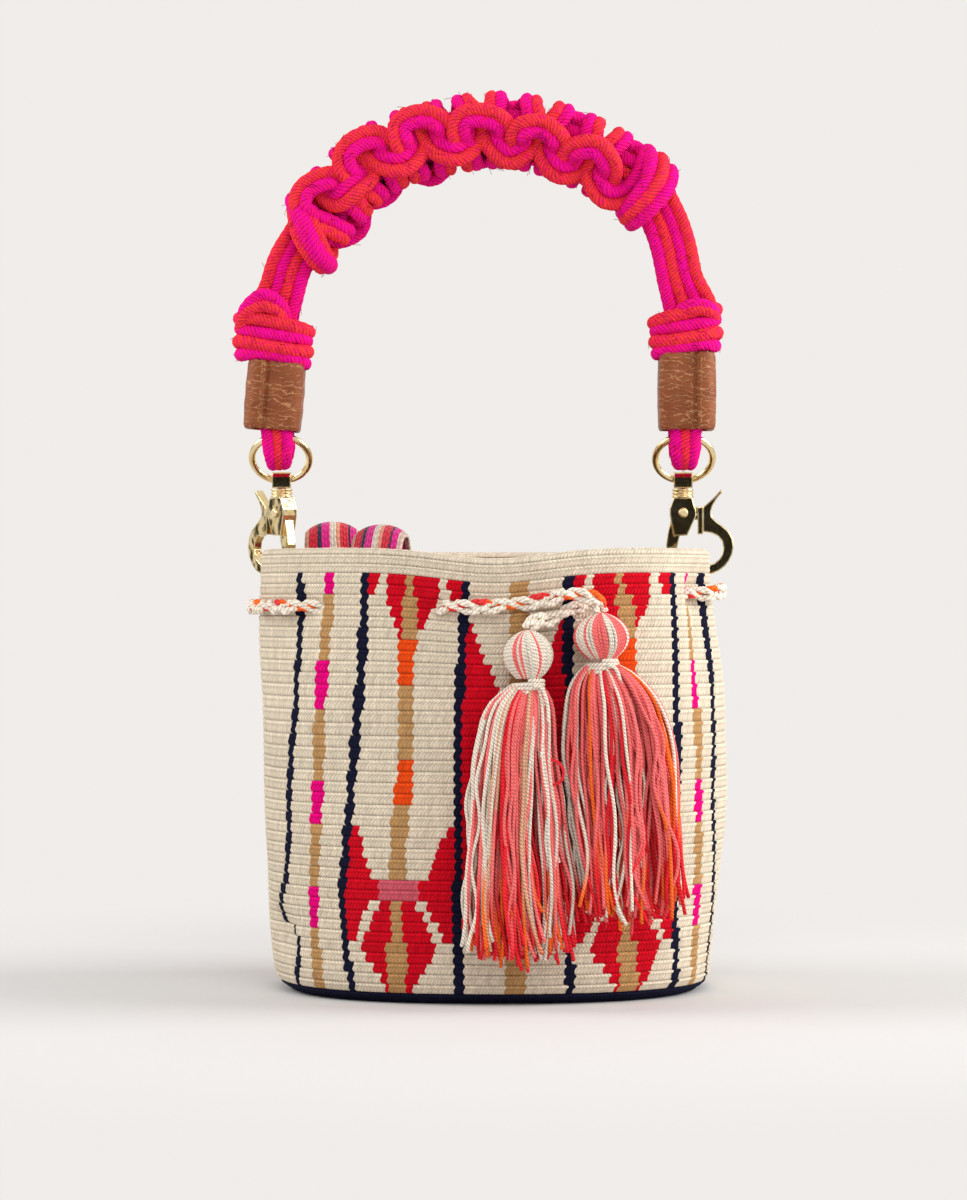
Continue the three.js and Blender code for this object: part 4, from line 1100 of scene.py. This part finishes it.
def between_ends(length):
    """1 where the bare cords run between a wrap and the knots, 0 elsewhere."""
    right = smooth(length, WRAP_TOPS["right"] - 8, WRAP_TOPS["right"] + 8) * (1 - smooth(length, 96, 112))
    left = smooth(length, KNOTS_END - 12, KNOTS_END + 2)
    return right + left * (1 - smooth(length, WRAP_TOPS["left"] - 8, WRAP_TOPS["left"] + 8))


def bare_pitch(length):
    """Distance between neighbouring cords, which gather where they run bare."""
    return CORD_PITCH * (1 - 0.22 * between_ends(length))


def core_shift(length):
    """How far the core moves inward beside the fourth strand."""
    return -2.0 * between_ends(length)


CORD_RADIUS = 2.6


def add_cord(strands, line, colour, radius=CORD_RADIUS):
    """A laid cord of four plies."""
    strands.add(line, radius, linear(colour), sides=16, lobes=4, lobe_depth=0.09, lay=13.0)


def core_cord(strands, row, colour):
    """A long loop: up the front, round the ring's wire at each end and along the back."""
    lift = RING_TOP_HEIGHT - BIGHT_DROP + STRAND_SPREAD / 2
    right_end, left_end = length_at_height(lift, "right"), length_at_height(lift, "left")

    def gathered(length):
        from_end = np.minimum(length, HANDLE_LENGTH - length)
        return 0.66 + 0.34 * smooth(from_end, right_end + 4, right_end + 16)

    def run(start, end, face):
        length = np.linspace(start, end, int(abs(end - start) / 6) + 2)
        outward = row * bare_pitch(length) * gathered(length) + core_shift(length)
        return bundle_point(length, outward, face * strand_half_gap(length))

    def bight(length, face):
        turn = np.radians([30, 60, 90, 120, 150])
        gather = row * CORD_PITCH * (0.66 - 0.24 * np.sin(turn))
        centre = bundle_point(np.full(5, length), gather, 0)
        rise = np.stack([0 * turn, face * STRAND_SPREAD * np.cos(turn), -STRAND_SPREAD * np.sin(turn)], -1)
        return centre + rise

    middle = HANDLE_LENGTH / 2
    points = np.vstack([
        run(middle, right_end, 1), bight(right_end, 1), run(right_end, left_end, -1), bight(left_end, -1),
        run(left_end, middle, 1),
    ])
    add_cord(strands, resampled(spline(points, 8), 1.3), colour)


def side_strand(strands, side, face, colour):
    """An end of a knotting cord, which runs beside the core from the wrap to the first knot."""
    if side == "right":
        start, end = WRAP_TOPS["right"] - 12, KNOTS_START + 10
    else:
        start, end = KNOTS_END - 10, WRAP_TOPS["left"] + 12
    length = np.linspace(start, end, 24)
    line = bundle_point(length, bare_pitch(length) * 2 + core_shift(length), face * 2.5)
    add_cord(strands, resampled(spline(line, 6), 1.2), colour)


# Loops of the two knotting pairs, from bar to bar. Each station is (place along the handle, reach past
# the middle, depth, half spacing of the pair's cords), the first three as shares of HALF_KNOT_PITCH,
# BAR_REACH and EDGE_REACH.
FRONT_LOOP = (
    (-0.5, -1.06, 0.3, 1.75), (-0.64, -0.66, 0.9, 2.0), (-0.78, -0.12, 1.25, 2.05), (-0.62, 0.3, 1.7, 2.1),
    (0, 0.52, 1.86, 2.15), (0.62, 0.3, 1.82, 2.1), (0.78, -0.12, 1.62, 2.05), (0.64, -0.66, 0.9, 2.0),
    (0.5, -1.06, 0.3, 1.75),
)
BACK_LOOP = (
    (-0.5, -1.06, 0.3, 1.75), (-0.64, -0.66, 0.7, 2.0), (-0.78, -0.02, 0.8, 2.1), (-0.66, 0.5, 1.1, 2.3),
    (0, 0.8, 1.5, 2.4), (0.66, 0.5, 1.3, 2.3), (0.78, -0.02, 0.9, 2.1), (0.64, -0.66, 0.7, 2.0),
    (0.5, -1.06, 0.3, 1.75),
)
BAR_REACH = 1.5 * CORD_PITCH + CORD_DIAMETER / 2 + 0.9
EDGE_REACH = CORD_PITCH + CORD_DIAMETER / 2 + 0.3
BAR_BULGE = 1.13
BAR_HALF_SPACING = 1.7
KNOT_LEAN = math.radians(20)
KNOT_UNEVENNESS = (0.03, 0.06, 0.06)
END_RING_REACH = 11.5
END_RING_DEPTH = 11.6


def knot_point(length, outward, depth):
    """A point of the knots, which turn a little round the handle from one end to the other."""
    share = (np.asarray(length) - KNOTS_START) / (KNOTS_END - KNOTS_START)
    lean = KNOT_LEAN * np.interp(share, (0, 0.35, 0.6, 1), (1, 0.8, -0.4, -1))
    return bundle_point(
        length, outward * np.cos(lean) + depth * np.sin(lean), depth * np.cos(lean) - outward * np.sin(lean)
    )


def knotting_pair(strands, face):
    """Two cords, side by side, tied in half knots on one face of the bundle."""
    rows = []
    random = np.random.default_rng(40 + face)
    for i in range(1, HALF_KNOTS - 1):
        swap = 1 if i % 2 == 0 else -1
        loop = np.array(FRONT_LOOP if face < 0 else BACK_LOOP)
        loop[1:-1, :3] += random.normal(0, KNOT_UNEVENNESS, (len(loop) - 2, 3))
        length = KNOTS_START + (i + 0.5 + loop[:, 0]) * HALF_KNOT_PITCH
        reach = -face * loop[:, 1] * BAR_REACH
        depth = swap * face * loop[:, 2] * EDGE_REACH
        # The pair lies flat, its outer cord on the outside of the loop
        step = np.gradient(np.stack([length, reach], -1), axis=0)
        away = unit(np.stack([-step[:, 1], step[:, 0]], -1) * -face)
        away[0], away[-1] = (-1, 0), (1, 0)
        rows += np.column_stack([length, reach, depth, swap * away, loop[:, 3]]).tolist()
        if i < HALF_KNOTS - 2:
            rows.append((rows[-1][0], face * BAR_REACH * BAR_BULGE, 0.0, swap, 0.0, BAR_HALF_SPACING))
    ends = np.array([rows[0], rows[-1]]) * (1, 1, 0, 1, 1, 1)
    rows = np.vstack([ends[:1], rows, ends[1:]])
    centre = knot_point(rows[:, 0], rows[:, 1], rows[:, 2])
    beside = knot_point(rows[:, 0] + rows[:, 3], rows[:, 1] + rows[:, 4], rows[:, 2]) - centre
    line = resampled(spline(np.hstack([centre, unit(beside), rows[:, 5:]]), 10), 1.0)
    side = unit(line[:, 3:6]) * line[:, 6:]
    for cord in (1, -1):
        colour = CORD_RED if cord == -face else CORD_PINK
        add_cord(strands[colour], line[:, :3] + side * cord, colour)


def rounded(value, power):
    """A sine or cosine that follows a squarer outline."""
    return np.sign(value) * np.abs(value) ** power


def end_ring(strands, length, lean, cords):
    """Cords wound once round the bundle, over its first or last knot."""
    turn = np.linspace(0, 2 * np.pi, 25)
    for colour, shift, radius, rise in cords:
        outward = (END_RING_REACH + rise) * rounded(np.sin(turn), 0.9)
        depth = (END_RING_DEPTH + rise) * rounded(np.cos(turn), 0.7)
        bow = 2.2 * np.sign(lean) * np.cos(turn)
        line = bundle_point(length + shift + lean * np.sin(turn) + bow, outward, depth)
        add_cord(strands[colour], resampled(spline(line, 6), 1.0), colour, radius)


# Windings above a sleeve, as (height over it, colour, how far it stands proud)
WINDINGS = ((1.7, CORD_PINK, -0.2), (5.4, CORD_RED, 0.7), (10.0, CORD_PINK, 0.2), (14.0, CORD_RED, 0.9))
# Reach of each wrap towards the handle's outer and inner side, and height of its crossing cords
WRAPS = {"right": (10.8, 10.8, 0.4), "left": (13.2, 10.9, 1.0)}


def wrap(strands, side):
    """Cords wound round the bundle above a sleeve, and one pair that crosses over their top."""
    outer_reach, inner_reach, tall = WRAPS[side]
    base = length_at_height(SLEEVE_BOTTOM + SLEEVE_HEIGHTS[side], side)
    direction = 1 if side == "right" else -1
    angle = np.linspace(-math.pi, math.pi, 41)
    swing, front = np.sin(angle), np.cos(angle)
    out, near = rounded(swing, 0.66), rounded(front, 0.66)
    reach = np.where(swing > 0, outer_reach, inner_reach)
    for level, colour, proud in WINDINGS:
        climb = level + 1.5 * out + 0.9 * smooth(-front, 0.2, 1.0) + 0.45 * np.sin(2.2 * angle + level)
        line = bundle_point(base + direction * climb, out * (reach + proud), -near * (8.2 + proud))
        add_cord(strands[colour], resampled(spline(line, 5), 1.0), colour)
    for step, colour in ((0.0, CORD_RED), (3.9, CORD_PINK)):
        climb, outward, depth = np.array((
            (9.0, outer_reach - 2.5, 1.0), (11.5, outer_reach - 0.4, -4.5),
            (16.5 + step * 0.4, outer_reach - 1.6, -8.6), (19.6 + step, outer_reach * 0.45, -10.0),
            (18.6 + step * 0.8, 0.0, -9.4), (14.0 + step, -2.6, -6.4), (11.0, -3.6, -3.0),
        )).T
        climb = 12.5 + (climb - 12.5) * tall
        line = bundle_point(base + direction * climb, outward, depth)
        add_cord(strands[colour], resampled(spline(line, 8), 1.0), colour)


# Leather sleeves

LEATHER_THICKNESS = 1.6
LAP = 5.6
LAP_RISE = 1.2
SLEEVE_CORNER = 4.0
SLEEVE_HALF_WIDTH = 1.5 * CORD_PITCH + 0.6 + LEATHER_THICKNESS
SLEEVE_HALF_DEPTH = STRAND_SPREAD + CORD_DIAMETER / 2 + 0.3 + LEATHER_THICKNESS
SLEEVE_LEANS = {"right": 0.0, "left": math.tan(math.radians(4.5))}
# Limits of a crease's rate up the sleeve, its phase, the width of its sway and its depth
CREASES = ((0.5, 1.4), (0, 6), (6, 15), (0.1, 0.28))
STITCH_PITCH = 2.5
STITCH_LENGTH = 1.7
THREAD = "B9824E"


def sleeve_section(outer):
    """Outline of the leather as rows of (x, y), outer being the side with the lapped seam."""
    outline = []
    for x_side, y_side, start in ((1, -1, -90), (1, 1, 0), (-1, 1, 90), (-1, -1, 180)):
        for angle in np.radians(np.linspace(start, start + 90, 9)):
            outline.append((
                (SLEEVE_HALF_WIDTH - SLEEVE_CORNER) * x_side + SLEEVE_CORNER * math.cos(angle),
                (SLEEVE_HALF_DEPTH - SLEEVE_CORNER) * y_side + SLEEVE_CORNER * math.sin(angle),
            ))
    line = resampled(np.array(outline + outline[:1]), 0.6)[:-1] * (outer, 1)
    return line if outer > 0 else line[::-1]


def sleeve(side, material, thread):
    """A leather strip wrapped round the cords and lapped at the front, and its stitches."""
    outer = 1 if side == "right" else -1
    height = SLEEVE_HEIGHTS[side]
    lean = SLEEVE_LEANS[side]
    centre_x = bundle_point(length_at_height(SLEEVE_BOTTOM + height / 2, side), 0.0, 0.0)[0]

    def placed(points):
        """Points of the upright sleeve, leaned and put round the handle."""
        x, y, z = np.moveaxis(np.asarray(points), -1, 0)
        across = centre_x + x + lean * (z - height / 2)
        return np.stack([across, HANDLE_PLANE + y, SLEEVE_BOTTOM + z - lean * x], -1)

    section = sleeve_section(outer)
    x, y = section.T
    outward = unit(np.stack([np.gradient(y), -np.gradient(x)], -1))
    random = np.random.default_rng(21 if outer > 0 else 22)
    from_lap = x * outer - SLEEVE_HALF_WIDTH + LAP
    lap = LAP_RISE * ((from_lap > 0) & (y < 8))
    groove = -0.9 * np.exp(-((from_lap + 0.5) / 0.55) ** 2) * (y < 0)
    waves = [[random.uniform(*limits) for limits in CREASES] for _ in range(9)]
    rows = []
    for share in np.linspace(0, 1, 46):
        z = share * height
        crease = sum(
            depth * np.sin(z * rate + phase + 0.8 * np.sin(x / width * 2))
            for rate, phase, width, depth in waves
        )
        edge = min(share, 1 - share) * height
        swell = 0.35 * math.sin(math.pi * share) - 0.5 * math.exp(-(edge / 0.7) ** 2)
        offset = crease * 0.1 + swell + lap + groove
        rows.append(np.column_stack([section + outward * offset[:, None], np.full(len(section), z)]))
    inner = section - outward * (LEATHER_THICKNESS - 0.3)
    for z in (height - 0.1, 0.1):
        rows.append(np.column_stack([inner, np.full(len(section), z)]))
    quads = grid_faces(len(rows), len(section), closed=True)[:, ::-1]
    made = new_object(f"{side}_leather_sleeve", placed(rows).reshape(-1, 3), quads, material)
    stitches = Strands()
    seam = outer * (SLEEVE_HALF_WIDTH - LAP + 1.3)
    front = float(y.min()) - 1.35
    for low in np.arange(2.2, height - 1.6, STITCH_PITCH):
        high = low + STITCH_LENGTH
        ends = [(front + 0.5, low), (front, low + 0.35), (front, high - 0.35), (front + 0.5, high)]
        stitches.add(placed([(seam, *end) for end in ends]), 0.28, linear(THREAD), sides=6)
    return made, stitches.piece(f"{side}_sleeve_stitches", thread)


def leather_material():
    """Brown leather with a net of fold lines whose ridges are painted pale as highlights."""
    nodes = Nodes("grained_leather")
    coordinates = nodes.add("ShaderNodeTexCoord").outputs["Object"]
    stretch = nodes.add("ShaderNodeMapping")
    stretch.inputs["Scale"].default_value = (0.4, 0.4, 1.0)
    nodes.tree.links.new(coordinates, stretch.inputs["Vector"])
    parts = nodes.add("ShaderNodeSeparateXYZ")
    nodes.tree.links.new(coordinates, parts.inputs[0])

    def folds(pitch, slant, scale, sway):
        """Thin wavy lines that run across the leather, broken into lengths."""
        wander = nodes.noise(scale, 3.0, stretch.outputs[0])
        level = nodes.math("MULTIPLY_ADD", parts.outputs[0], slant, parts.outputs[2])
        turns = nodes.math("MULTIPLY_ADD", wander, sway, nodes.math("MULTIPLY", level, 1000 / pitch))
        line = nodes.ramp(wave(nodes, turns), [(0.89, 0), (0.99, 1)])
        broken = nodes.ramp(nodes.noise(scale * 0.9, 1.0, stretch.outputs[0]), [(0.4, 0), (0.52, 1)])
        return nodes.math("MULTIPLY", line, broken)

    mottle = nodes.noise(160, 2.0)
    colour = nodes.mix(nodes.ramp(mottle, [(0.35, 0), (0.65, 1)]), linear("7C3C16"), linear("8C4A22"))
    lines = nodes.math("MAXIMUM", folds(2.3, 0.2, 300, 3.2), folds(2.0, -0.24, 360, 3.4))
    # Painted highlight: the fold lines are mixed towards pale tan, as light on the folds' ridges.
    colour = nodes.mix(nodes.math("MULTIPLY", lines, 0.42), colour, linear("E0A878"))
    nodes.set(Base_Color=nodes.tint(colour, nodes.grain(2200, 0.16)), Specular_IOR_Level=0.3)
    nodes.set(Roughness=nodes.math("MULTIPLY_ADD", mottle, 0.15, 0.42))
    pebble = nodes.noise(2200, 2.0)
    nodes.bump(nodes.math("MULTIPLY_ADD", lines, 0.6, nodes.math("MULTIPLY", pebble, 0.5)), 0.3)
    return nodes.owner


# Metal

GOLD_LIGHT = "F2E0B4"


def plated_material(name, light, dark, roughness):
    """Polished metal with rounded edges, slow waves and fine scratches."""
    nodes = Nodes(name)
    scratches = nodes.noise(1500, 2.0)
    wear = nodes.noise(240, 3.0)
    colour = nodes.mix(nodes.ramp(wear, [(0.35, 0), (0.65, 1)]), linear(light), linear(dark))
    nodes.set(Base_Color=colour, Metallic=1.0)
    nodes.set(Roughness=nodes.math("MULTIPLY_ADD", scratches, 0.1, roughness))
    bevel = nodes.add("ShaderNodeBevel", samples=6)
    bevel.inputs["Radius"].default_value = 0.7 * MM
    nodes.bump(nodes.noise(210, 1.0), 0.2, bevel.outputs[0])
    return nodes.owner


def smooth_ring(side, material):
    """A ring of round wire that leans forward from its eye."""
    turns, sides = 72, 20
    turn = (2 * np.pi / turns * np.arange(turns))[:, None, None]
    step = (2 * np.pi / sides * np.arange(sides))[:, None]
    centre = np.array([POSTS[side], -RING_TOP_DEPTH / 2, (RIVET_HEIGHT + EYE_CENTRE + RING_TOP_HEIGHT) / 2])
    up = np.array([0, -math.sin(RING_LEAN), math.cos(RING_LEAN)])
    across = np.array([1.0, 0, 0])
    spoke = across * np.cos(turn) + up * np.sin(turn)
    points = centre + spoke * (RING_RADIUS + RING_WIRE / 2 * np.cos(step))
    points = points + np.cross(across, up) * RING_WIRE / 2 * np.sin(step)
    quads = grid_faces(turns, sides, closed=True)
    return new_object(f"{side}_ring_wire", points.reshape(-1, 3), quads, material)


def collar_ribs(side, material):
    """Turned ribs round the collar above the cheeks."""
    turn = np.linspace(0, 2 * np.pi, 49)
    ribs = Strands()
    for level, radius in ((6.1, 3.75), (7.35, 3.7), (8.6, 3.7)):
        height = RIVET_HEIGHT + level + 0 * turn
        line = np.stack([POSTS[side] + radius * np.cos(turn), radius * np.sin(turn), height], -1)
        ribs.add(line, 0.45, linear(GOLD_LIGHT), sides=10)
    return ribs.piece(f"{side}_collar_ribs", material)


def carry(piece, body, slot, *nodes):
    """Puts a piece on its body, in place of the nodes that it stands for. The slot is not used."""
    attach(piece, body)
    if nodes:
        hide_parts(*nodes)


# Stage, seen in a picture whose dots are 0.375 mm apart in the plane through the bag's axis

PICTURE_WIDTH = 967
DOT = 0.375
CAMERA_DISTANCE = 1400.0
PICTURE_MIDDLE = (-3.75, 144.375)
SENSOR_WIDTH = 36


def make_camera():
    camera = bpy.data.objects.new("camera", bpy.data.cameras.new("camera"))
    camera.location = (PICTURE_MIDDLE[0] * MM, -CAMERA_DISTANCE * MM, PICTURE_MIDDLE[1] * MM)
    camera.rotation_euler = (math.radians(90), 0, 0)
    camera.data.sensor_fit = "HORIZONTAL"
    camera.data.sensor_width = SENSOR_WIDTH
    camera.data.lens = SENSOR_WIDTH * CAMERA_DISTANCE / (PICTURE_WIDTH * DOT)
    camera.data.clip_start = 0.05
    bpy.context.scene.collection.objects.link(camera)
    bpy.context.scene.camera = camera


def make_world():
    """White light all round, seen as the photo's background."""
    nodes = Nodes("studio", bpy.data.worlds)
    bpy.context.scene.world = nodes.owner
    nodes.tree.nodes.clear()
    output = nodes.add("ShaderNodeOutputWorld")
    lights = []
    for colour, strength in (((1, 1, 1), 0.62), (linear(BACKGROUND), 1.0)):
        light = nodes.add("ShaderNodeBackground")
        light.inputs["Color"].default_value = (*colour, 1)
        light.inputs["Strength"].default_value = strength
        lights.append(light.outputs[0])
    nodes.mix_shaders(nodes.seen(), *lights, output.inputs[0])


# Area lamps, as (name, place, size, watts)
LAMPS = (
    ("lamp_right", (1.45, -0.1, 0.75), (1.0, 0.9), 24), ("lamp_left", (-1.35, 0.0, 0.9), (1.0, 0.9), 13.5),
    ("lamp_front", (0.3, -1.5, 0.95), (1.2, 1.0), 10),
)
LAMPS_POINT_AT = Vector((0, 0, 0.12))


def make_lamp(name, place, size, energy):
    lamp = bpy.data.objects.new(name, bpy.data.lights.new(name, "AREA"))
    lamp.data.shape = "RECTANGLE"
    lamp.data.size, lamp.data.size_y = size
    lamp.data.energy = energy
    lamp.location = place
    lamp.rotation_euler = (LAMPS_POINT_AT - Vector(place)).to_track_quat("-Z", "Y").to_euler()
    bpy.context.scene.collection.objects.link(lamp)


def floor_material():
    """Pale paint that fades into the background away from the object."""
    nodes = Nodes("floor_paint")
    nodes.set(Base_Color=(0.645, 0.63, 0.617, 1), Roughness=0.9, Specular_IOR_Level=0.1)
    length = nodes.add("ShaderNodeVectorMath", operation="LENGTH")
    nodes.join(nodes.add("ShaderNodeNewGeometry").outputs["Position"], length.inputs[0])
    away = nodes.add("ShaderNodeMapRange", interpolation_type="SMOOTHSTEP")
    away.inputs["From Min"].default_value = 0.16
    away.inputs["From Max"].default_value = 0.42
    nodes.join(length.outputs["Value"], away.inputs["Value"])
    factor = nodes.math("MULTIPLY", away.outputs["Result"], nodes.seen())
    glow = nodes.add("ShaderNodeEmission")
    glow.inputs["Color"].default_value = (*linear(BACKGROUND), 1)
    surface = nodes.tree.nodes["Material Output"].inputs["Surface"]
    nodes.mix_shaders(factor, nodes.shader.outputs[0], glow.outputs[0], surface)
    return nodes.owner


def stage_sheet(name, corners, material):
    """A flat part of the stage."""
    card = new_object(name, corners, [(0, 1, 2, 3)], material, smooth_faces=False)
    return card


# Dark cards round the object, as (direction from the front in degrees, half width, top)
CARDS = (
    (0, 16, 520), (50, 3, 700), (72, 3, 700), (84, 2.5, 700), (-45, 4, 700), (-72, 3, 700), (-99, 3.5, 700),
    (-111, 3, 700), (118, 5, 700),
)
CARD_DISTANCE = 1500
CARD_FOOT = 2


def make_cards():
    """Dark cards out of the picture, which only the polished metal shows."""
    nodes = Nodes("card_felt")
    nodes.set(Base_Color=(0.012, 0.011, 0.01, 1), Roughness=0.9, Specular_IOR_Level=0.0)
    for i, (direction, half, top) in enumerate(CARDS):
        left, right = math.radians(direction - half), math.radians(direction + half)
        corners = [
            (CARD_DISTANCE * math.sin(turn), -CARD_DISTANCE * math.cos(turn), level)
            for turn, level in ((left, CARD_FOOT), (right, CARD_FOOT), (right, top), (left, top))
        ]
        card = stage_sheet(f"card_{i}", corners, nodes.owner)
        card.visible_camera = False
        card.visible_diffuse = False
        card.visible_shadow = False


FLOOR_HALF = 8000
FLOOR_DROP = 0.3


def make_floor():
    corners = [(x * FLOOR_HALF, y * FLOOR_HALF, 0) for x, y in ((-1, -1), (1, -1), (1, 1), (-1, 1))]
    stage_sheet("floor", corners, floor_material()).location.z = -FLOOR_DROP * MM


make_camera()
make_world()
make_floor()
make_cards()
for lamp in LAMPS:
    make_lamp(*lamp)
bpy.context.scene.view_settings.view_transform = "Standard"

# Drawstring, tassels and strap
string, string_line = drawstring(strand_material("plait_yarn", 2, 1.5, 0.25, 0.45, 2200))
carry(string, "bag", "braid", "drawstring")
tassel_yarn = strand_material("tassel_yarn", 2, 1.3, 0.3, 0.5, 3500)
for side in ("left", "right"):
    strands = tassel_skirt(side)
    tassel_head(strands, side)
    if side == "left":
        stray_loop(strands)
    piece = strands.piece(f"{side}_tassel_strands", tassel_yarn)
    carry(piece, f"{side}_tassel", "tassel_yarn", f"{side}_tassel_yarn")
    tie = tassel_tie(side, tassel_yarn)
    carry(tie, f"{side}_tassel", "tie_yarn", f"{side}_tassel_tie")
woven, strap_length = strap(strap_material())
carry(woven, "bag", "strap_weave", "crossbody_strap")

# Handle: core cords, knots, wraps and sleeves
cord_yarn = strand_material("cord_yarn", 6, -3.4, 0.35, 0.3, 1600, CORD_STREAKS)
for name, row, colour in (("outer", 1, CORD_PINK), ("middle", 0, CORD_RED), ("inner", -1, CORD_PINK)):
    strands = Strands()
    core_cord(strands, row, colour)
    add_fibres(strands, 50 + row, 160, colour)
    carry(strands.piece(f"{name}_core_strand", cord_yarn), "handle", "pink_cord", f"{name}_core_cord")
knots = {CORD_PINK: Strands(), CORD_RED: Strands()}
for face in (1, -1):
    knotting_pair(knots, face)
end_ring(knots, KNOTS_START + 4, 4.0, (
    (CORD_PINK, -4.0, 2.8, 0.0), (CORD_RED, 0.0, 2.8, 0.6), (CORD_PINK, 4.2, 2.8, 0.2),
))
end_ring(knots, KNOTS_END - 5, -6.0, (
    (CORD_RED, -4.0, 2.4, -0.4), (CORD_PINK, 0.0, 3.6, 1.0), (CORD_RED, 4.0, 2.4, -0.4),
))
for face in (1, -1):
    for side in ("right", "left"):
        side_strand(knots[CORD_RED], side, face, CORD_RED)
for colour, name in CORD_NAMES.items():
    add_fibres(knots[colour], 60 + len(name), 800, colour)
    carry(knots[colour].piece(f"knotting_cords_{name}", cord_yarn), "handle", f"{name}_cord", "handle_knots")
for side in ("right", "left"):
    wraps = {CORD_PINK: Strands(), CORD_RED: Strands()}
    wrap(wraps, side)
    for colour, name in CORD_NAMES.items():
        add_fibres(wraps[colour], 70 + len(name), 100, colour)
        piece = wraps[colour].piece(f"{side}_winding_{name}", cord_yarn)
        carry(piece, "handle", f"{name}_cord", f"{side}_wrap_{name}")
hide = leather_material()
for side in ("right", "left"):
    leather, thread = sleeve(side, hide, tassel_yarn)
    carry(leather, "handle", "leather", f"{side}_sleeve")
    carry(thread, "handle", "leather")

# Rings and snaps
gold = plated_material("gold_plate", GOLD_LIGHT, "E6CC92", 0.05)
dome_gold = plated_material("rivet_gold", "F4E2BA", "E8CF98", 0.3)
steel = plated_material("spring_wire", "A8A8A6", "8C8C8A", 0.2)
solids = {"eye": gold, "snap_body": gold, "trigger": gold, "rivet": dome_gold, "spring": steel}
for side in ("right", "left"):
    carry(smooth_ring(side, gold), f"{side}_ring", "gold_plate", f"{side}_ring")
    carry(collar_ribs(side, gold), f"{side}_snap", "gold_plate")
    for part, material in solids.items():
        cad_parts[f"{side}_{part}"].material_slots[0].material = material

# Body
yarn = crochet_material()
wall = crochet_wall(yarn)
inside = crochet_inside(yarn)
for piece in (wall, inside, crochet_base(yarn)):
    carry(piece, "bag", "crochet", "bag_body")
